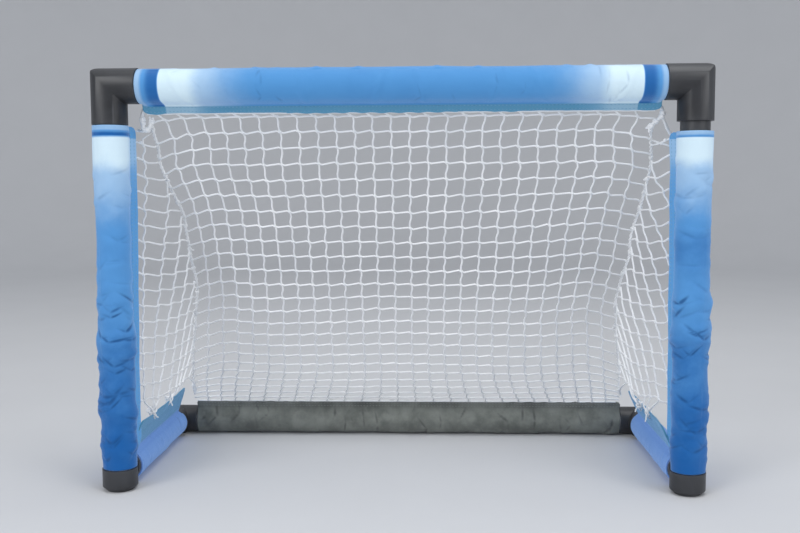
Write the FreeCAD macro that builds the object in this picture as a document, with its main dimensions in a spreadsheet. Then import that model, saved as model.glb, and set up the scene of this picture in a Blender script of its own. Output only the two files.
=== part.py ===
import FreeCAD, Part
import math
import os
import re

import Sketcher
from FreeCAD import Placement, Rotation, Vector

# Small tabletop hockey goal with lamps in its two upper corners.
# X runs along the crossbar, +Y from the mouth to the back, +Z up.
# The origin is the centre of the goal's footprint, on the floor.

DRIVING_SIZES = [
    # Outside of the whole goal, over the fittings
    ("overall_width", 711),
    ("overall_height", 495),
    ("overall_depth", 305),
    # Plastic tube of the frame and the fittings that join it
    ("tube_outer", 33.4),
    ("tube_wall", 2.2),
    ("fitting_outer", 41),
    ("spigot_length", 22),
    ("spigot_wall", 2),
    ("push_fit", 0.05),
    # Front foot: a low cup round the post, with a neck to the base tube
    ("foot_rim", 26),
    ("foot_floor", 5),
    ("foot_edge", 5),
    ("foot_arm", 25),
    ("neck_radius", 17.5),
    # Rounding of the outer corner of the rear elbows and the lamp housings
    ("corner_round", 12),
    # Rear corner elbow: a mitred bend that stands on a pad
    ("bend_section", 19),
    ("bend_arm", 30),
    ("pad_side", 22),
    # Lamp housing in each upper corner: two shells, split at mid depth
    ("housing_arm", 34),
    ("housing_leg", 44),
    ("shell_wall", 2.4),
    ("rib_thickness", 1.6),
    ("lower_rib_rise", 7),
    ("upper_rib_drop", 12),
    ("lead_notch", 4),
    # Battery cells, AAA size, three side by side
    ("cell_diameter", 10.4),
    ("cell_length", 44.5),
    ("cell_play", 0.1),
    ("contact_room", 3.6),
    ("contact_plate", 0.5),
    ("contact_tab", 4),
    # Battery door in the back of the housing
    ("door_width", 32),
    ("door_below_cells", 1.5),
    ("door_above_cells", 2.6),
    ("tongue_width", 9.4),
    ("tongue_top", 16.5),
    ("door_lip", 1.5),
    ("door_gap", 0.3),
    # Screw of the battery door, and the boss that it bites into
    ("screw_z", 13),
    ("boss_radius", 2.4),
    ("collar_radius", 2.6),
    ("shank_radius", 1.2),
    ("head_radius", 2.1),
    ("head_height", 1.8),
    ("screw_length", 12),
    ("head_seat", 8),
    ("screw_play", 0.1),
    # Power button, and the switch and circuit board behind it
    ("button_x", 25.4),
    ("button_radius", 4),
    ("button_flange", 5.2),
    ("flange_thickness", 1.2),
    ("flange_gap", 0.2),
    ("button_travel", 0.8),
    ("button_play", 0.1),
    ("board_set_in", 3.85),
    ("board_thickness", 1.2),
    ("board_width", 9.4),
    ("board_height", 17),
    ("board_post", 3),
    ("switch_width", 6),
    ("switch_height", 3.5),
    ("stem_width", 3),
    ("stem_height", 0.6),
    # Lamp on its small board in each spigot, and the flat lead that feeds it
    ("lamp_set_in", 6),
    ("lamp_board", 1.6),
    ("lamp_width", 5),
    ("lamp_height", 1.8),
    ("lead_width", 2.4),
    ("lead_thickness", 0.8),
    ("lead_set_in", 1.45),
    ("lead_drop", 5),
    # Fabric sleeves, each with a sewn hem that holds the net
    ("cloth", 1.2),
    ("cloth_gap", 0.3),
    ("sleeve_gap", 1),
    ("hem_length", 11),
    ("hem_reach", 35),
    ("base_hem_length", 30),
    ("base_hem_reach", 56),
    ("post_hem_angle", 35),
    ("base_hem_angle", 70),
    # Twine net, its laced seams and the ties at its corners
    ("twine", 2),
    ("net_gap", 0.3),
    ("seam_radius", 2.5),
    ("seam_top_inset", 39),
    ("seam_middle_inset", 55),
    ("seam_bottom_inset", 30),
    ("side_mesh", 32),
    ("tie_radius", 1.6),
    ("knot_radius", 4.2),
    ("knot_length", 8),
]

DERIVED_SIZES = [
    ("tube_radius", "tube_outer / 2"),
    ("tube_bore", "tube_radius - tube_wall"),
    ("fitting_radius", "fitting_outer / 2"),
    ("spigot_radius", "tube_bore - push_fit"),
    ("spigot_bore", "spigot_radius - spigot_wall"),
    ("inner_radius", "fitting_radius - shell_wall"),
    ("middle_radius", "fitting_radius - shell_wall / 2"),
    ("board_y", "spigot_bore - board_set_in"),
    ("lead_depth", "spigot_bore - lead_set_in"),
    ("cell_radius", "cell_diameter / 2"),
    ("cell_pitch", "cell_diameter + cell_play"),
    ("cell_foot", "shell_wall + contact_room - housing_leg"),
    ("cell_top", "cell_foot + cell_length"),
    ("bay_roof", "cell_top + contact_room - contact_plate"),
    ("lead_low", "cell_top - lead_drop"),
    ("post_x", "overall_width / 2 - fitting_radius"),
    ("rear_y", "overall_depth / 2 - fitting_radius"),
    ("bar_z", "overall_height - fitting_radius"),
    ("base_z", "fitting_radius"),
    ("slope_length", "sqrt(pow(2 * rear_y; 2) + pow(bar_z - base_z; 2))"),
    ("slope_angle", "atan((bar_z - base_z) / (2 * rear_y))"),
]

# Meshes of the back net, and straight runs of each bowed seam
BACK_NET_COLUMNS = 17
BACK_NET_ROWS = 12
SEAM_RUNS = 4

# Where the side net's lower edge is drawn down to its hem, along Y
BASE_KNOTS_Y = (-55, 15)

doc = FreeCAD.newDocument("hockey_goal")
sheet = doc.addObject("Spreadsheet::Sheet", "Sheet")
for row, (name, value) in enumerate(DRIVING_SIZES, start=1):
    sheet.set(f"A{row}", name)
    sheet.set(f"B{row}", str(value))
    sheet.setAlias(f"B{row}", name)
for row, (name, text) in enumerate(DERIVED_SIZES, start=1):
    sheet.set(f"D{row}", name)
    sheet.set(f"E{row}", "=" + text)
    sheet.setAlias(f"E{row}", name)
doc.recompute()

SIZE_NAMES = {name for name, value in DRIVING_SIZES + DERIVED_SIZES}
NODES = {}


def size(name):
    """Value of one named size, in mm or degrees."""
    value = sheet.get(name)
    return float(getattr(value, "Value", value))


def formula(text):
    """Expression in size names, made to read the sheet."""
    return re.sub(r"[a-z_]+", lambda m: "Sheet." + m[0] if m[0] in SIZE_NAMES else m[0], str(text))


def bind(obj, **properties):
    """Tie properties of an object to expressions in size names."""
    for name, text in properties.items():
        obj.setExpression(name, formula(text))
    return obj


def place(obj, at):
    """Put an object's base at three expressions."""
    for axis, text in zip("xyz", at):
        obj.setExpression("Placement.Base." + axis, formula(text))
    return obj


def turn(obj, axis, angle):
    """Turn an object about an axis by an angle in degrees, an expression."""
    obj.Placement = Placement(Vector(), Rotation(Vector(*axis), 1))
    obj.setExpression("Placement.Rotation.Angle", formula(angle))
    return obj


def node(label, obj):
    """Register an object as a sub-part of the goal."""
    obj.Label = label
    NODES[label] = obj
    return obj


# Primitives, whose sizes and places are expressions

ALONG = {
    "+X": Rotation(Vector(0, 1, 0), 90),
    "+Y": Rotation(Vector(1, 0, 0), -90),
    "-Y": Rotation(Vector(1, 0, 0), 90),
    "+Z": Rotation(),
    "-Z": Rotation(Vector(1, 0, 0), 180),
}


def cylinder(radius, length, at=(0, 0, 0), along="+Z"):
    obj = doc.addObject("Part::Cylinder", "Cylinder")
    obj.Placement = Placement(Vector(), ALONG[along])
    return place(bind(obj, Radius=radius, Height=length), at)


def box(low, high):
    """Box between two corners."""
    spans = [f"({top}) - ({bottom})" for bottom, top in zip(low, high)]
    obj = doc.addObject("Part::Box", "Box")
    return place(bind(obj, Length=spans[0], Width=spans[1], Height=spans[2]), low)


def fuse(*parts):
    obj = doc.addObject("Part::MultiFuse", "Fuse")
    obj.Shapes = list(parts)
    obj.Refine = True
    return obj


def common(*parts):
    obj = doc.addObject("Part::MultiCommon", "Common")
    obj.Shapes = list(parts)
    return obj


def cut(base, *tools):
    obj = doc.addObject("Part::Cut", "Cut")
    obj.Base = base
    obj.Tool = tools[0] if len(tools) == 1 else fuse(*tools)
    return obj


def group(*parts):
    obj = doc.addObject("Part::Compound", "Compound")
    obj.Links = list(parts)
    return obj


def feature(shape):
    """Object for a shape that sketches and primitives don't give."""
    obj = doc.addObject("Part::Feature", "Feature")
    obj.Shape = shape
    return obj


# Bodies made from sketches


def new_body():
    return doc.addObject("PartDesign::Body", "Body")


def sketch_on(body, role):
    """New sketch on one of the body's own origin planes."""
    sketch = body.newObject("Sketcher::SketchObject", "Sketch")
    plane = next(o for o in body.Origin.OriginFeatures if o.Role == role)
    sketch.AttachmentSupport = (plane, [""])
    sketch.MapMode = "FlatFace"
    return sketch


def constrain(sketch, kind, *references):
    sketch.addConstraint(Sketcher.Constraint(kind, *references))


def dimension(sketch, kind, references, value, text):
    """Driving dimension, bound to an expression in size names."""
    index = sketch.addConstraint(Sketcher.Constraint(kind, *references, value))
    sketch.setExpression(f"Constraints[{index}]", formula(text))


def pad_both_ways(body, sketch, length):
    """Pad a sketch by half the length to each side of its plane."""
    pad = body.newObject("PartDesign::Pad", "Pad")
    pad.Profile = sketch
    pad.SideType = "Symmetric"
    bind(pad, Length=length)
    body.Tip = pad
    return body


def tube_body(role, length):
    """Plastic tube, centred on the origin, across one origin plane."""
    body = new_body()
    sketch = sketch_on(body, role)
    for index, name in enumerate(("tube_radius", "tube_bore")):
        sketch.addGeometry(Part.Circle(Vector(), Vector(0, 0, 1), size(name)))
        constrain(sketch, "Coincident", index, 3, -1, 1)
        dimension(sketch, "Radius", (index,), size(name), name)
    return pad_both_ways(body, sketch, length)


def tangent_angle(radius, tip):
    """Angle at which the tangent from a point leaves a circle about the origin."""
    return math.atan2(tip.y, tip.x) + math.acos(radius / tip.Length)


def arc_about_origin(radius, angle):
    """Long arc round the back of a sleeve, from +angle to -angle."""
    circle = Part.Circle(Vector(), Vector(0, 0, 1), radius)
    return Part.ArcOfCircle(circle, angle, 2 * math.pi - angle)


def sleeve_body(role, length, reach, hem):
    """Fabric sleeve round a tube, its two edges sewn into a flat hem at +X.

    The cloth lies round the back of the tube and runs straight from there to
    the hem, so its section is a drop. The hem ends at the reach.
    """
    body = new_body()
    sketch = sketch_on(body, role)
    cloth = size("cloth")
    inner = size("tube_radius") + size("cloth_gap")
    outer = inner + cloth
    tip_x = size(reach)
    seam_x = tip_x - size(hem)
    upper = Vector(seam_x, cloth, 0)
    lower = Vector(seam_x, -cloth, 0)
    tip_upper = Vector(tip_x, cloth, 0)
    tip_lower = Vector(tip_x, -cloth, 0)
    apex = Vector(seam_x, 0, 0)
    outer_angle = tangent_angle(outer, upper)
    inner_angle = tangent_angle(inner, apex)
    outer_start = Vector(math.cos(outer_angle), math.sin(outer_angle), 0) * outer
    inner_start = Vector(math.cos(inner_angle), math.sin(inner_angle), 0) * inner
    outer_end = Vector(outer_start.x, -outer_start.y, 0)
    inner_end = Vector(inner_start.x, -inner_start.y, 0)
    sketch.addGeometry([
        arc_about_origin(outer, outer_angle),
        Part.LineSegment(outer_start, upper),
        Part.LineSegment(upper, tip_upper),
        Part.LineSegment(tip_upper, tip_lower),
        Part.LineSegment(tip_lower, lower),
        Part.LineSegment(lower, outer_end),
        arc_about_origin(inner, inner_angle),
        Part.LineSegment(inner_start, apex),
        Part.LineSegment(apex, inner_end),
    ], False)
    constrain(sketch, "Coincident", 0, 3, -1, 1)
    constrain(sketch, "Coincident", 6, 3, -1, 1)
    constrain(sketch, "Tangent", 0, 1, 1, 1)
    constrain(sketch, "Tangent", 0, 2, 5, 2)
    constrain(sketch, "Tangent", 6, 1, 7, 1)
    constrain(sketch, "Tangent", 6, 2, 8, 2)
    for first, second in ((1, 2), (2, 3), (3, 4), (4, 5), (7, 8)):
        constrain(sketch, "Coincident", first, 2, second, 1)
    constrain(sketch, "Horizontal", 2)
    constrain(sketch, "Horizontal", 4)
    constrain(sketch, "Vertical", 3)
    constrain(sketch, "Symmetric", 1, 2, 4, 2, -1)
    constrain(sketch, "PointOnObject", 7, 2, -1)
    dimension(sketch, "Radius", (0,), outer, "tube_radius + cloth_gap + cloth")
    dimension(sketch, "Radius", (6,), inner, "tube_radius + cloth_gap")
    dimension(sketch, "DistanceX", (-1, 1, 3, 1), tip_x, reach)
    dimension(sketch, "DistanceX", (-1, 1, 1, 2), seam_x, f"{reach} - {hem}")
    dimension(sketch, "DistanceX", (-1, 1, 7, 2), seam_x, f"{reach} - {hem}")
    dimension(sketch, "DistanceY", (-1, 1, 3, 1), cloth, "cloth")
    return pad_both_ways(body, sketch, length)


def foot_cup_body():
    """Low cup that stands on the floor and takes the foot of a post."""
    body = new_body()
    sketch = sketch_on(body, "XZ_Plane")
    radius, rim, floor, edge = (size(n) for n in ("fitting_radius", "foot_rim", "foot_floor", "foot_edge"))
    bore = size("tube_radius") + size("push_fit")
    points = [
        Vector(0, 0, 0), Vector(radius - edge, 0, 0), Vector(radius, edge, 0), Vector(radius, rim, 0),
        Vector(bore, rim, 0), Vector(bore, floor, 0), Vector(0, floor, 0),
    ]
    sketch.addGeometry([Part.LineSegment(a, b) for a, b in zip(points, points[1:] + points[:1])], False)
    for index in range(len(points)):
        constrain(sketch, "Coincident", index, 2, (index + 1) % len(points), 1)
    constrain(sketch, "Coincident", 0, 1, -1, 1)
    for index in (0, 3, 5):
        constrain(sketch, "Horizontal", index)
    for index in (2, 4, 6):
        constrain(sketch, "Vertical", index)
    dimension(sketch, "DistanceX", (-1, 1, 2, 1), radius, "fitting_radius")
    dimension(sketch, "DistanceX", (-1, 1, 0, 2), radius - edge, "fitting_radius - foot_edge")
    dimension(sketch, "DistanceY", (-1, 1, 2, 1), edge, "foot_edge")
    dimension(sketch, "DistanceY", (-1, 1, 3, 1), rim, "foot_rim")
    dimension(sketch, "DistanceX", (-1, 1, 4, 1), bore, "tube_radius + push_fit")
    dimension(sketch, "DistanceY", (-1, 1, 5, 1), floor, "foot_floor")
    spin = body.newObject("PartDesign::Revolution", "Revolution")
    spin.Profile = sketch
    spin.ReferenceAxis = (sketch, ["V_Axis"])
    spin.Angle = 360
    body.Tip = spin
    return body


# Frame tubes

node("crossbar_tube", place(
    tube_body("YZ_Plane", "2 * (post_x - housing_arm)"),
    (0, "-rear_y", "bar_z")))
node("left_post_tube", place(
    tube_body("XY_Plane", "bar_z - housing_leg - foot_floor"),
    ("-post_x", "-rear_y", "(bar_z - housing_leg + foot_floor) / 2")))
node("left_base_tube", place(
    tube_body("XZ_Plane", "2 * rear_y - foot_arm - bend_arm"),
    ("-post_x", "(foot_arm - bend_arm) / 2", "base_z")))
node("rear_base_tube", place(
    tube_body("YZ_Plane", "2 * (post_x - bend_arm)"),
    (0, "rear_y", "base_z")))


# Front foot, about the foot of the post's axis


def front_foot():
    neck_start = "tube_radius + 0.6"
    neck = common(
        cylinder("neck_radius", f"foot_arm - ({neck_start})", (0, neck_start, "base_z"), "+Y"),
        box(("-neck_radius", neck_start, 0), ("neck_radius", "foot_arm", "base_z + neck_radius")))
    web = box(("-fitting_radius / 2", neck_start, "base_z - neck_radius"),
              ("fitting_radius / 2", "foot_arm", "foot_rim - 1"))
    shoulder_cut = box(("-fitting_radius", 0, "foot_rim"),
                       ("fitting_radius", "tube_radius + cloth_gap + cloth + 0.6", "2 * fitting_radius"))
    spigot = cylinder("spigot_radius", "spigot_length + 1", (0, "foot_arm - 1", "base_z"), "+Y")
    outside = cut(fuse(foot_cup_body(), neck, web, spigot), shoulder_cut)
    socket = cylinder("tube_radius + push_fit", "foot_rim", (0, 0, "foot_floor"))
    return cut(outside, socket)


node("left_front_foot", place(front_foot(), ("-post_x", "-rear_y", 0)))


# Mitred elbow, about the crossing of its two axes


def elbow_solid(radius, arm, leg):
    """Bend with an arm along +X and a leg along -Z, its outer corner rounded."""
    across = cylinder(radius, f"({arm}) + ({radius})", (f"-({radius})", 0, 0), "+X")
    upright = cylinder(radius, f"({leg}) + ({radius})", (0, 0, radius), "-Z")
    mitre = common(across, upright)
    round_centre = "(fitting_radius - corner_round)"
    corner = box((f"-({radius}) - 1", f"-({radius})", round_centre),
                 (f"-{round_centre}", radius, f"({radius}) + 1"))
    rounding = cylinder(f"{radius} - {round_centre}", f"2 * ({radius}) + 2",
                        (f"-{round_centre}", f"-({radius}) - 1", round_centre), "+Y")
    rounded = cut(mitre, cut(corner, rounding))
    return fuse(rounded, cylinder(radius, arm, along="+X"), cylinder(radius, leg, along="-Z"))


def elbow_ends(radius, arm, leg, length):
    """Two round stubs that start at the ends of an elbow's arm and leg."""
    return [
        cylinder(radius, length, (arm, 0, 0), "+X"),
        cylinder(radius, length, (0, 0, f"-({leg})"), "-Z"),
    ]


# Rear elbow: laid flat, its arm along the rear tube, its leg along the base tube


def rear_elbow():
    pad = box(("-pad_side / 2", 0, "-pad_side / 2"), ("pad_side / 2", "fitting_radius", "pad_side / 2"))
    return fuse(
        elbow_solid("bend_section", "bend_arm", "bend_arm"), pad,
        *elbow_ends("spigot_radius", "bend_arm - 1", "bend_arm - 1", "spigot_length + 1"))


laid_flat = group(rear_elbow())
laid_flat.Placement = Placement(Vector(), Rotation(Vector(1, 0, 0), -90))
node("left_rear_elbow", place(laid_flat, ("-post_x", "rear_y", "base_z")))


# Lamp housing, about the crossing of the post's and the crossbar's axes


def housing_halves():
    """Hollow housing, split into its front and rear halves."""
    outside = fuse(
        elbow_solid("fitting_radius", "housing_arm", "housing_leg"),
        *elbow_ends("spigot_radius", "housing_arm - 1", "housing_leg - 1", "spigot_length + 1"))
    inside = fuse(
        elbow_solid("inner_radius", "housing_arm - shell_wall", "housing_leg - shell_wall"),
        *elbow_ends("spigot_bore", "housing_arm - shell_wall - 1", "housing_leg - shell_wall - 1",
                    "spigot_length + shell_wall + 2"))
    hollow = cut(outside, inside)
    reach = "housing_leg + spigot_length + 5"
    front_space = box((f"-({reach})", "-fitting_radius - 1", f"-({reach})"), (reach, 0, "fitting_radius + 1"))
    rear_space = box((f"-({reach})", 0, f"-({reach})"), (reach, "fitting_radius + 1", "fitting_radius + 1"))
    return common(hollow, front_space), common(hollow, rear_space)


def inside_wall():
    """Solid that reaches a third of the way into the wall, to trim ribs and bosses."""
    return elbow_solid("inner_radius + shell_wall / 3", "housing_arm - shell_wall / 2",
                       "housing_leg - shell_wall / 2")


def front_shell(half):
    """Front half, with the ribs behind the cells, the bay's roof and the door's boss."""
    behind_cells = "-cell_radius - cell_play"
    ribs = [box(("-fitting_radius", "-fitting_radius", z),
                ("fitting_radius", behind_cells, f"{z} + rib_thickness"))
            for z in ("cell_foot + lower_rib_rise", "cell_top - upper_rib_drop")]
    notch = box(("-lead_notch / 2", "-lead_depth - lead_notch / 2", "cell_foot"),
                ("lead_notch / 2", "0", "cell_top"))
    roof = box(("-fitting_radius", "-fitting_radius", "bay_roof"),
               ("fitting_radius", 0, "bay_roof + rib_thickness"))
    roof_lug = box(("-cell_pitch", -1, "bay_roof"),
                   ("cell_pitch", "cell_radius - 1", "bay_roof + rib_thickness"))
    boss = cylinder("boss_radius", "fitting_radius + 1", (0, 1, "screw_z"), "-Y")
    pilot = cylinder("shank_radius + screw_play / 2", "screw_length", (0, 2, "screw_z"), "-Y")
    inner_parts = common(fuse(cut(fuse(*ribs), notch), roof, boss), inside_wall())
    return cut(fuse(half, inner_parts, roof_lug), pilot)


def door_prism(inset):
    """Outline of the battery door, seen from behind, as a solid along Y."""
    half = f"(door_width / 2 - ({inset}))"
    half_tongue = f"(tongue_width / 2 - ({inset}) / 2)"
    depth = "fitting_radius + 1"
    panel = box((f"-{half}", 1, f"cell_foot - door_below_cells + ({inset})"),
                (half, depth, f"cell_top + door_above_cells - ({inset})"))
    tongue = box((f"-{half_tongue}", 1, "cell_top"), (half_tongue, depth, f"tongue_top - ({inset}) / 2"))
    return fuse(panel, tongue)


def rear_shell(half):
    """Rear half, with a stepped doorway, the button's hole and the board's two posts."""
    post_low_x = "button_x + board_width / 2 - board_post"
    posts = [box((post_low_x, "board_y + board_thickness", low),
                 (f"{post_low_x} + board_post", "fitting_radius", high))
             for low, high in (("-board_height / 2", "board_post - board_height / 2"),
                               ("board_height / 2 - board_post", "board_height / 2"))]
    button_hole = cylinder("button_radius + button_play", "fitting_radius", ("button_x", "board_y", 0), "+Y")
    doorway = door_prism("door_lip")
    outer_doorway = cut(door_prism("0"), elbow_solid("middle_radius", "housing_arm", "housing_leg"))
    return cut(fuse(half, common(fuse(*posts), inside_wall())), button_hole, doorway, outer_doorway)


def battery_door():
    """Curved panel with a plug behind it and a tongue that holds its screw."""
    skin = elbow_solid("fitting_radius", "housing_arm", "housing_leg")
    core = elbow_solid("middle_radius + door_gap", "housing_arm", "housing_leg")
    hollow = elbow_solid("inner_radius", "housing_arm", "housing_leg")
    panel = cut(common(door_prism("door_gap"), skin), core)
    plug = cut(common(door_prism("door_lip + door_gap"), skin), hollow)
    collar = cylinder("collar_radius", "fitting_radius - 2", (0, "head_seat - 1.5", "screw_z"), "+Y")
    hole = cylinder("shank_radius + screw_play", "fitting_radius", (0, 0, "screw_z"), "+Y")
    counterbore = cylinder("head_radius + screw_play", "fitting_radius", (0, "head_seat", "screw_z"), "+Y")
    return cut(fuse(panel, plug, common(collar, skin)), hole, counterbore)


def door_screw():
    """Round-head screw that goes in along -Y."""
    return fuse(cylinder("head_radius", "head_height", (0, "head_seat", "screw_z"), "+Y"),
                cylinder("shank_radius", "screw_length + 1", (0, "head_seat + 1", "screw_z"), "-Y"))


def battery_cells():
    return group(*[cylinder("cell_radius", "cell_length", (f"{i} * cell_pitch", 0, "cell_foot"))
                   for i in (-1, 0, 1)])


def contact_strip(plate_low, tab_low, tab_high):
    """Steel strip across the three cells, with a sprung tab for each."""
    strip = box(("-cell_pitch - contact_tab", "-contact_tab", plate_low),
                ("cell_pitch + contact_tab", "contact_tab", f"{plate_low} + contact_plate"))
    tabs = [box((f"{i} * cell_pitch - contact_tab / 2", "-contact_tab / 2", tab_low),
                (f"{i} * cell_pitch + contact_tab / 2", "contact_tab / 2", tab_high)) for i in (-1, 0, 1)]
    return fuse(strip, *tabs)


def battery_contacts():
    floor = "shell_wall - housing_leg"
    lower = contact_strip(floor, floor, "cell_foot - cell_play")
    upper = contact_strip("bay_roof - contact_plate", "cell_top + cell_play", "bay_roof")
    return group(lower, upper)


def circuit_board():
    return box(("button_x - board_width / 2", "board_y", "-board_height / 2"),
               ("button_x + board_width / 2", "board_y + board_thickness", "board_height / 2"))


def touch_switch():
    """Switch case on the board, with the stem that the button pushes."""
    face = "board_y + board_thickness"
    return fuse(*[box((f"button_x - {width} / 2", face, f"-{width} / 2"),
                      (f"button_x + {width} / 2", f"{face} + {height}", f"{width} / 2"))
                  for width, height in (("switch_width", "switch_height"),
                                        ("stem_width", "switch_height + stem_height"))])


def power_button():
    """Round cap that a flange keeps inside the wall."""
    flange_top = "sqrt(pow(inner_radius; 2) - pow(button_flange; 2)) - flange_gap"
    cap_base = "board_y + board_thickness + switch_height + stem_height + button_travel + button_play"
    cap = cylinder("button_radius", f"fitting_radius - ({cap_base})", ("button_x", cap_base, 0), "+Y")
    flange = cylinder("button_flange", "flange_thickness",
                      ("button_x", f"{flange_top} - flange_thickness", 0), "+Y")
    return fuse(cap, flange)


def both_spigots(half_width, start, thickness):
    """The same square block in the arm's spigot and in the leg's."""
    return group(
        box((f"housing_arm + {start}", f"-({half_width})", f"-({half_width})"),
            (f"housing_arm + {start} + {thickness}", half_width, half_width)),
        box((f"-({half_width})", f"-({half_width})", f"-(housing_leg + {start} + {thickness})"),
            (half_width, half_width, f"-(housing_leg + {start})")))


def lamp_leads():
    """Flat two-core leads: one to the crossbar's lamp, one down to the post's."""
    half = "lead_width / 2"
    depth = "(board_y + board_thickness / 2)"
    front_y = "-lead_depth"
    board_left = "(button_x - board_width / 2)"
    to_bar = box(("button_x + board_width / 2", f"{depth} - lead_thickness / 2", f"-{half}"),
                 ("housing_arm + lamp_set_in", f"{depth} + lead_thickness / 2", half))
    across_x = f"({board_left} + lead_thickness)"
    lead_high = "lead_low + lead_width"
    to_front = box((across_x, front_y, "lead_low"),
                   (f"{across_x} + lead_width", "board_y", "lead_low + lead_thickness"))
    to_axis = box((f"-{half}", front_y, "lead_low"),
                  (f"{across_x} + lead_width", f"{front_y} + lead_thickness", lead_high))
    down = box((f"-{half}", front_y, "-(housing_leg + lamp_set_in)"),
               (half, f"{front_y} + lead_thickness", lead_high))
    return group(to_bar, fuse(to_front, to_axis, down))


front_half, rear_half = housing_halves()
LAMP_PIECES = {
    "front_shell": front_shell(front_half),
    "rear_shell": rear_shell(rear_half),
    "battery_door": battery_door(),
    "door_screw": door_screw(),
    "battery_cells": battery_cells(),
    "battery_contacts": battery_contacts(),
    "circuit_board": circuit_board(),
    "touch_switch": touch_switch(),
    "power_button": power_button(),
    "lamp_boards": both_spigots("spigot_bore / sqrt(2) - 0.05", "lamp_set_in", "lamp_board"),
    "lamps": both_spigots("lamp_width / 2", "lamp_set_in + lamp_board", "lamp_height"),
    "lamp_leads": lamp_leads(),
}
for name, piece in LAMP_PIECES.items():
    carrier = group(piece)
    node("left_" + name, place(carrier, ("-post_x", "-rear_y", "bar_z")))


# Fabric sleeves: the crossbar's and the rear tube's hems face each other


def hung_sleeve(label, role, length, at, axis, angle, reach="hem_reach", hem="hem_length"):
    node(label, place(turn(sleeve_body(role, length, reach, hem), axis, angle), at))


hung_sleeve("crossbar_sleeve", "YZ_Plane", "2 * (post_x - housing_arm - sleeve_gap)",
            (0, "-rear_y", "bar_z"), (1, 0, 0), "-slope_angle")
hung_sleeve("rear_base_sleeve", "YZ_Plane", "2 * (post_x - bend_arm - sleeve_gap)",
            (0, "rear_y", "base_z"), (1, 0, 0), "180 deg - slope_angle")
hung_sleeve("left_post_sleeve", "XY_Plane", "bar_z - housing_leg - foot_rim - 2 * sleeve_gap",
            ("-post_x", "-rear_y", "(bar_z - housing_leg + foot_rim) / 2"), (0, 0, 1), "post_hem_angle")
hung_sleeve("left_base_sleeve", "XZ_Plane", "2 * rear_y - foot_arm - bend_arm - 2 * sleeve_gap",
            ("-post_x", "(foot_arm - bend_arm) / 2", "base_z"), (0, 1, 0), "-base_hem_angle",
            "base_hem_reach", "base_hem_length")


# Back net: a flat panel between the two facing hems. In its own plane, x runs
# across and y up the slope. Its sides bow inward where the seams pull them.

NET_LENGTH = size("slope_length") - 2 * (size("hem_reach") + size("net_gap"))
SLOPE = math.radians(size("slope_angle"))


def seam_circle():
    """Centre and radius of the seam's bow, in the plane of the back net."""
    ends = [("seam_bottom_inset", 0), ("seam_middle_inset", 0.52), ("seam_top_inset", 1)]
    points = [Vector(size("post_x") - size(inset), NET_LENGTH * share, 0) for inset, share in ends]
    circle = Part.Arc(*points).toShape().Curve
    return circle.Center, circle.Radius


SEAM_CENTRE, SEAM_BOW = seam_circle()


def seam_x(height):
    """Distance of the seam from mid width, at a height up the slope.

    The bow is made of straight runs between points on its circle.
    """
    def on_circle(y):
        return SEAM_CENTRE.x - math.sqrt(SEAM_BOW ** 2 - (y - SEAM_CENTRE.y) ** 2)

    run = NET_LENGTH / SEAM_RUNS
    below = min(max(math.floor(height / run), 0), SEAM_RUNS - 1) * run
    share = (height - below) / run
    return on_circle(below) * (1 - share) + on_circle(below + run) * share


def seam_heights(low, high):
    """Two heights up the slope and the bends of the seam between them."""
    bends = [NET_LENGTH * i / SEAM_RUNS for i in range(1, SEAM_RUNS)]
    return [low] + [h for h in bends if low < h < high] + [high]


def mirrored(point):
    return Vector(-point.x, point.y, point.z)


def back_net():
    inset = size("seam_radius") + size("net_gap")
    half_twine = size("twine") / 2
    right = [Vector(seam_x(h) - inset, h, 0) for h in seam_heights(0, NET_LENGTH)]
    left = [mirrored(p) for p in reversed(right)]
    outline = Part.Wire(Part.makePolygon(right + left + right[:1]))

    def knot(column, row, shift_x, shift_y):
        height = half_twine + (NET_LENGTH - 2 * half_twine) * row / BACK_NET_ROWS
        half_width = seam_x(height) - inset - half_twine
        across = half_width * (2 * column / BACK_NET_COLUMNS - 1)
        return Vector(across + shift_x, height + shift_y, 0)

    gaps = []
    for row in range(BACK_NET_ROWS):
        for column in range(BACK_NET_COLUMNS):
            corners = [
                knot(column, row, half_twine, half_twine),
                knot(column + 1, row, -half_twine, half_twine),
                knot(column + 1, row + 1, -half_twine, -half_twine),
                knot(column, row + 1, half_twine, -half_twine),
            ]
            gaps.append(Part.Wire(Part.makePolygon(corners + corners[:1])))
    face = Part.Face([outline] + gaps, "Part::FaceMakerBullseye")
    panel = face.extrude(Vector(0, 0, size("twine")))
    panel.translate(Vector(0, 0, -half_twine))
    return panel


def slope_placement():
    """Puts the back net's plane on the line between the two bars' axes."""
    reach = size("hem_reach") + size("net_gap")
    foot = Vector(0, size("rear_y") - reach * math.cos(SLOPE), size("base_z") + reach * math.sin(SLOPE))
    return Placement(foot, Rotation(Vector(1, 0, 0), 180 - size("slope_angle")))


back = node("back_net", feature(back_net()))
back.Placement = slope_placement()


# Side net: stands between the post's hem and the seam, above the base hem


def on_slope(point):
    """World point of a point in the back net's plane."""
    return slope_placement().multVec(point)


def height_on_slope(z):
    """Distance up the slope of a height above the floor."""
    return (z - on_slope(Vector()).z) / math.sin(SLOPE)


def clip_behind(polygon, start, direction):
    """Part of a polygon in the YZ plane that lies on the mouth's side of a line."""
    def side(p):
        return (p.y - start.y) * direction.z - (p.z - start.z) * direction.y

    kept = []
    for a, b in zip(polygon, polygon[1:] + polygon[:1]):
        if side(a) <= 0:
            kept.append(a)
        if (side(a) <= 0) != (side(b) <= 0):
            share = side(a) / (side(a) - side(b))
            kept.append(a + (b - a) * share)
    return kept


def polygon_area(polygon):
    pairs = zip(polygon, polygon[1:] + polygon[:1])
    return abs(sum(a.y * b.z - b.y * a.z for a, b in pairs)) / 2


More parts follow.
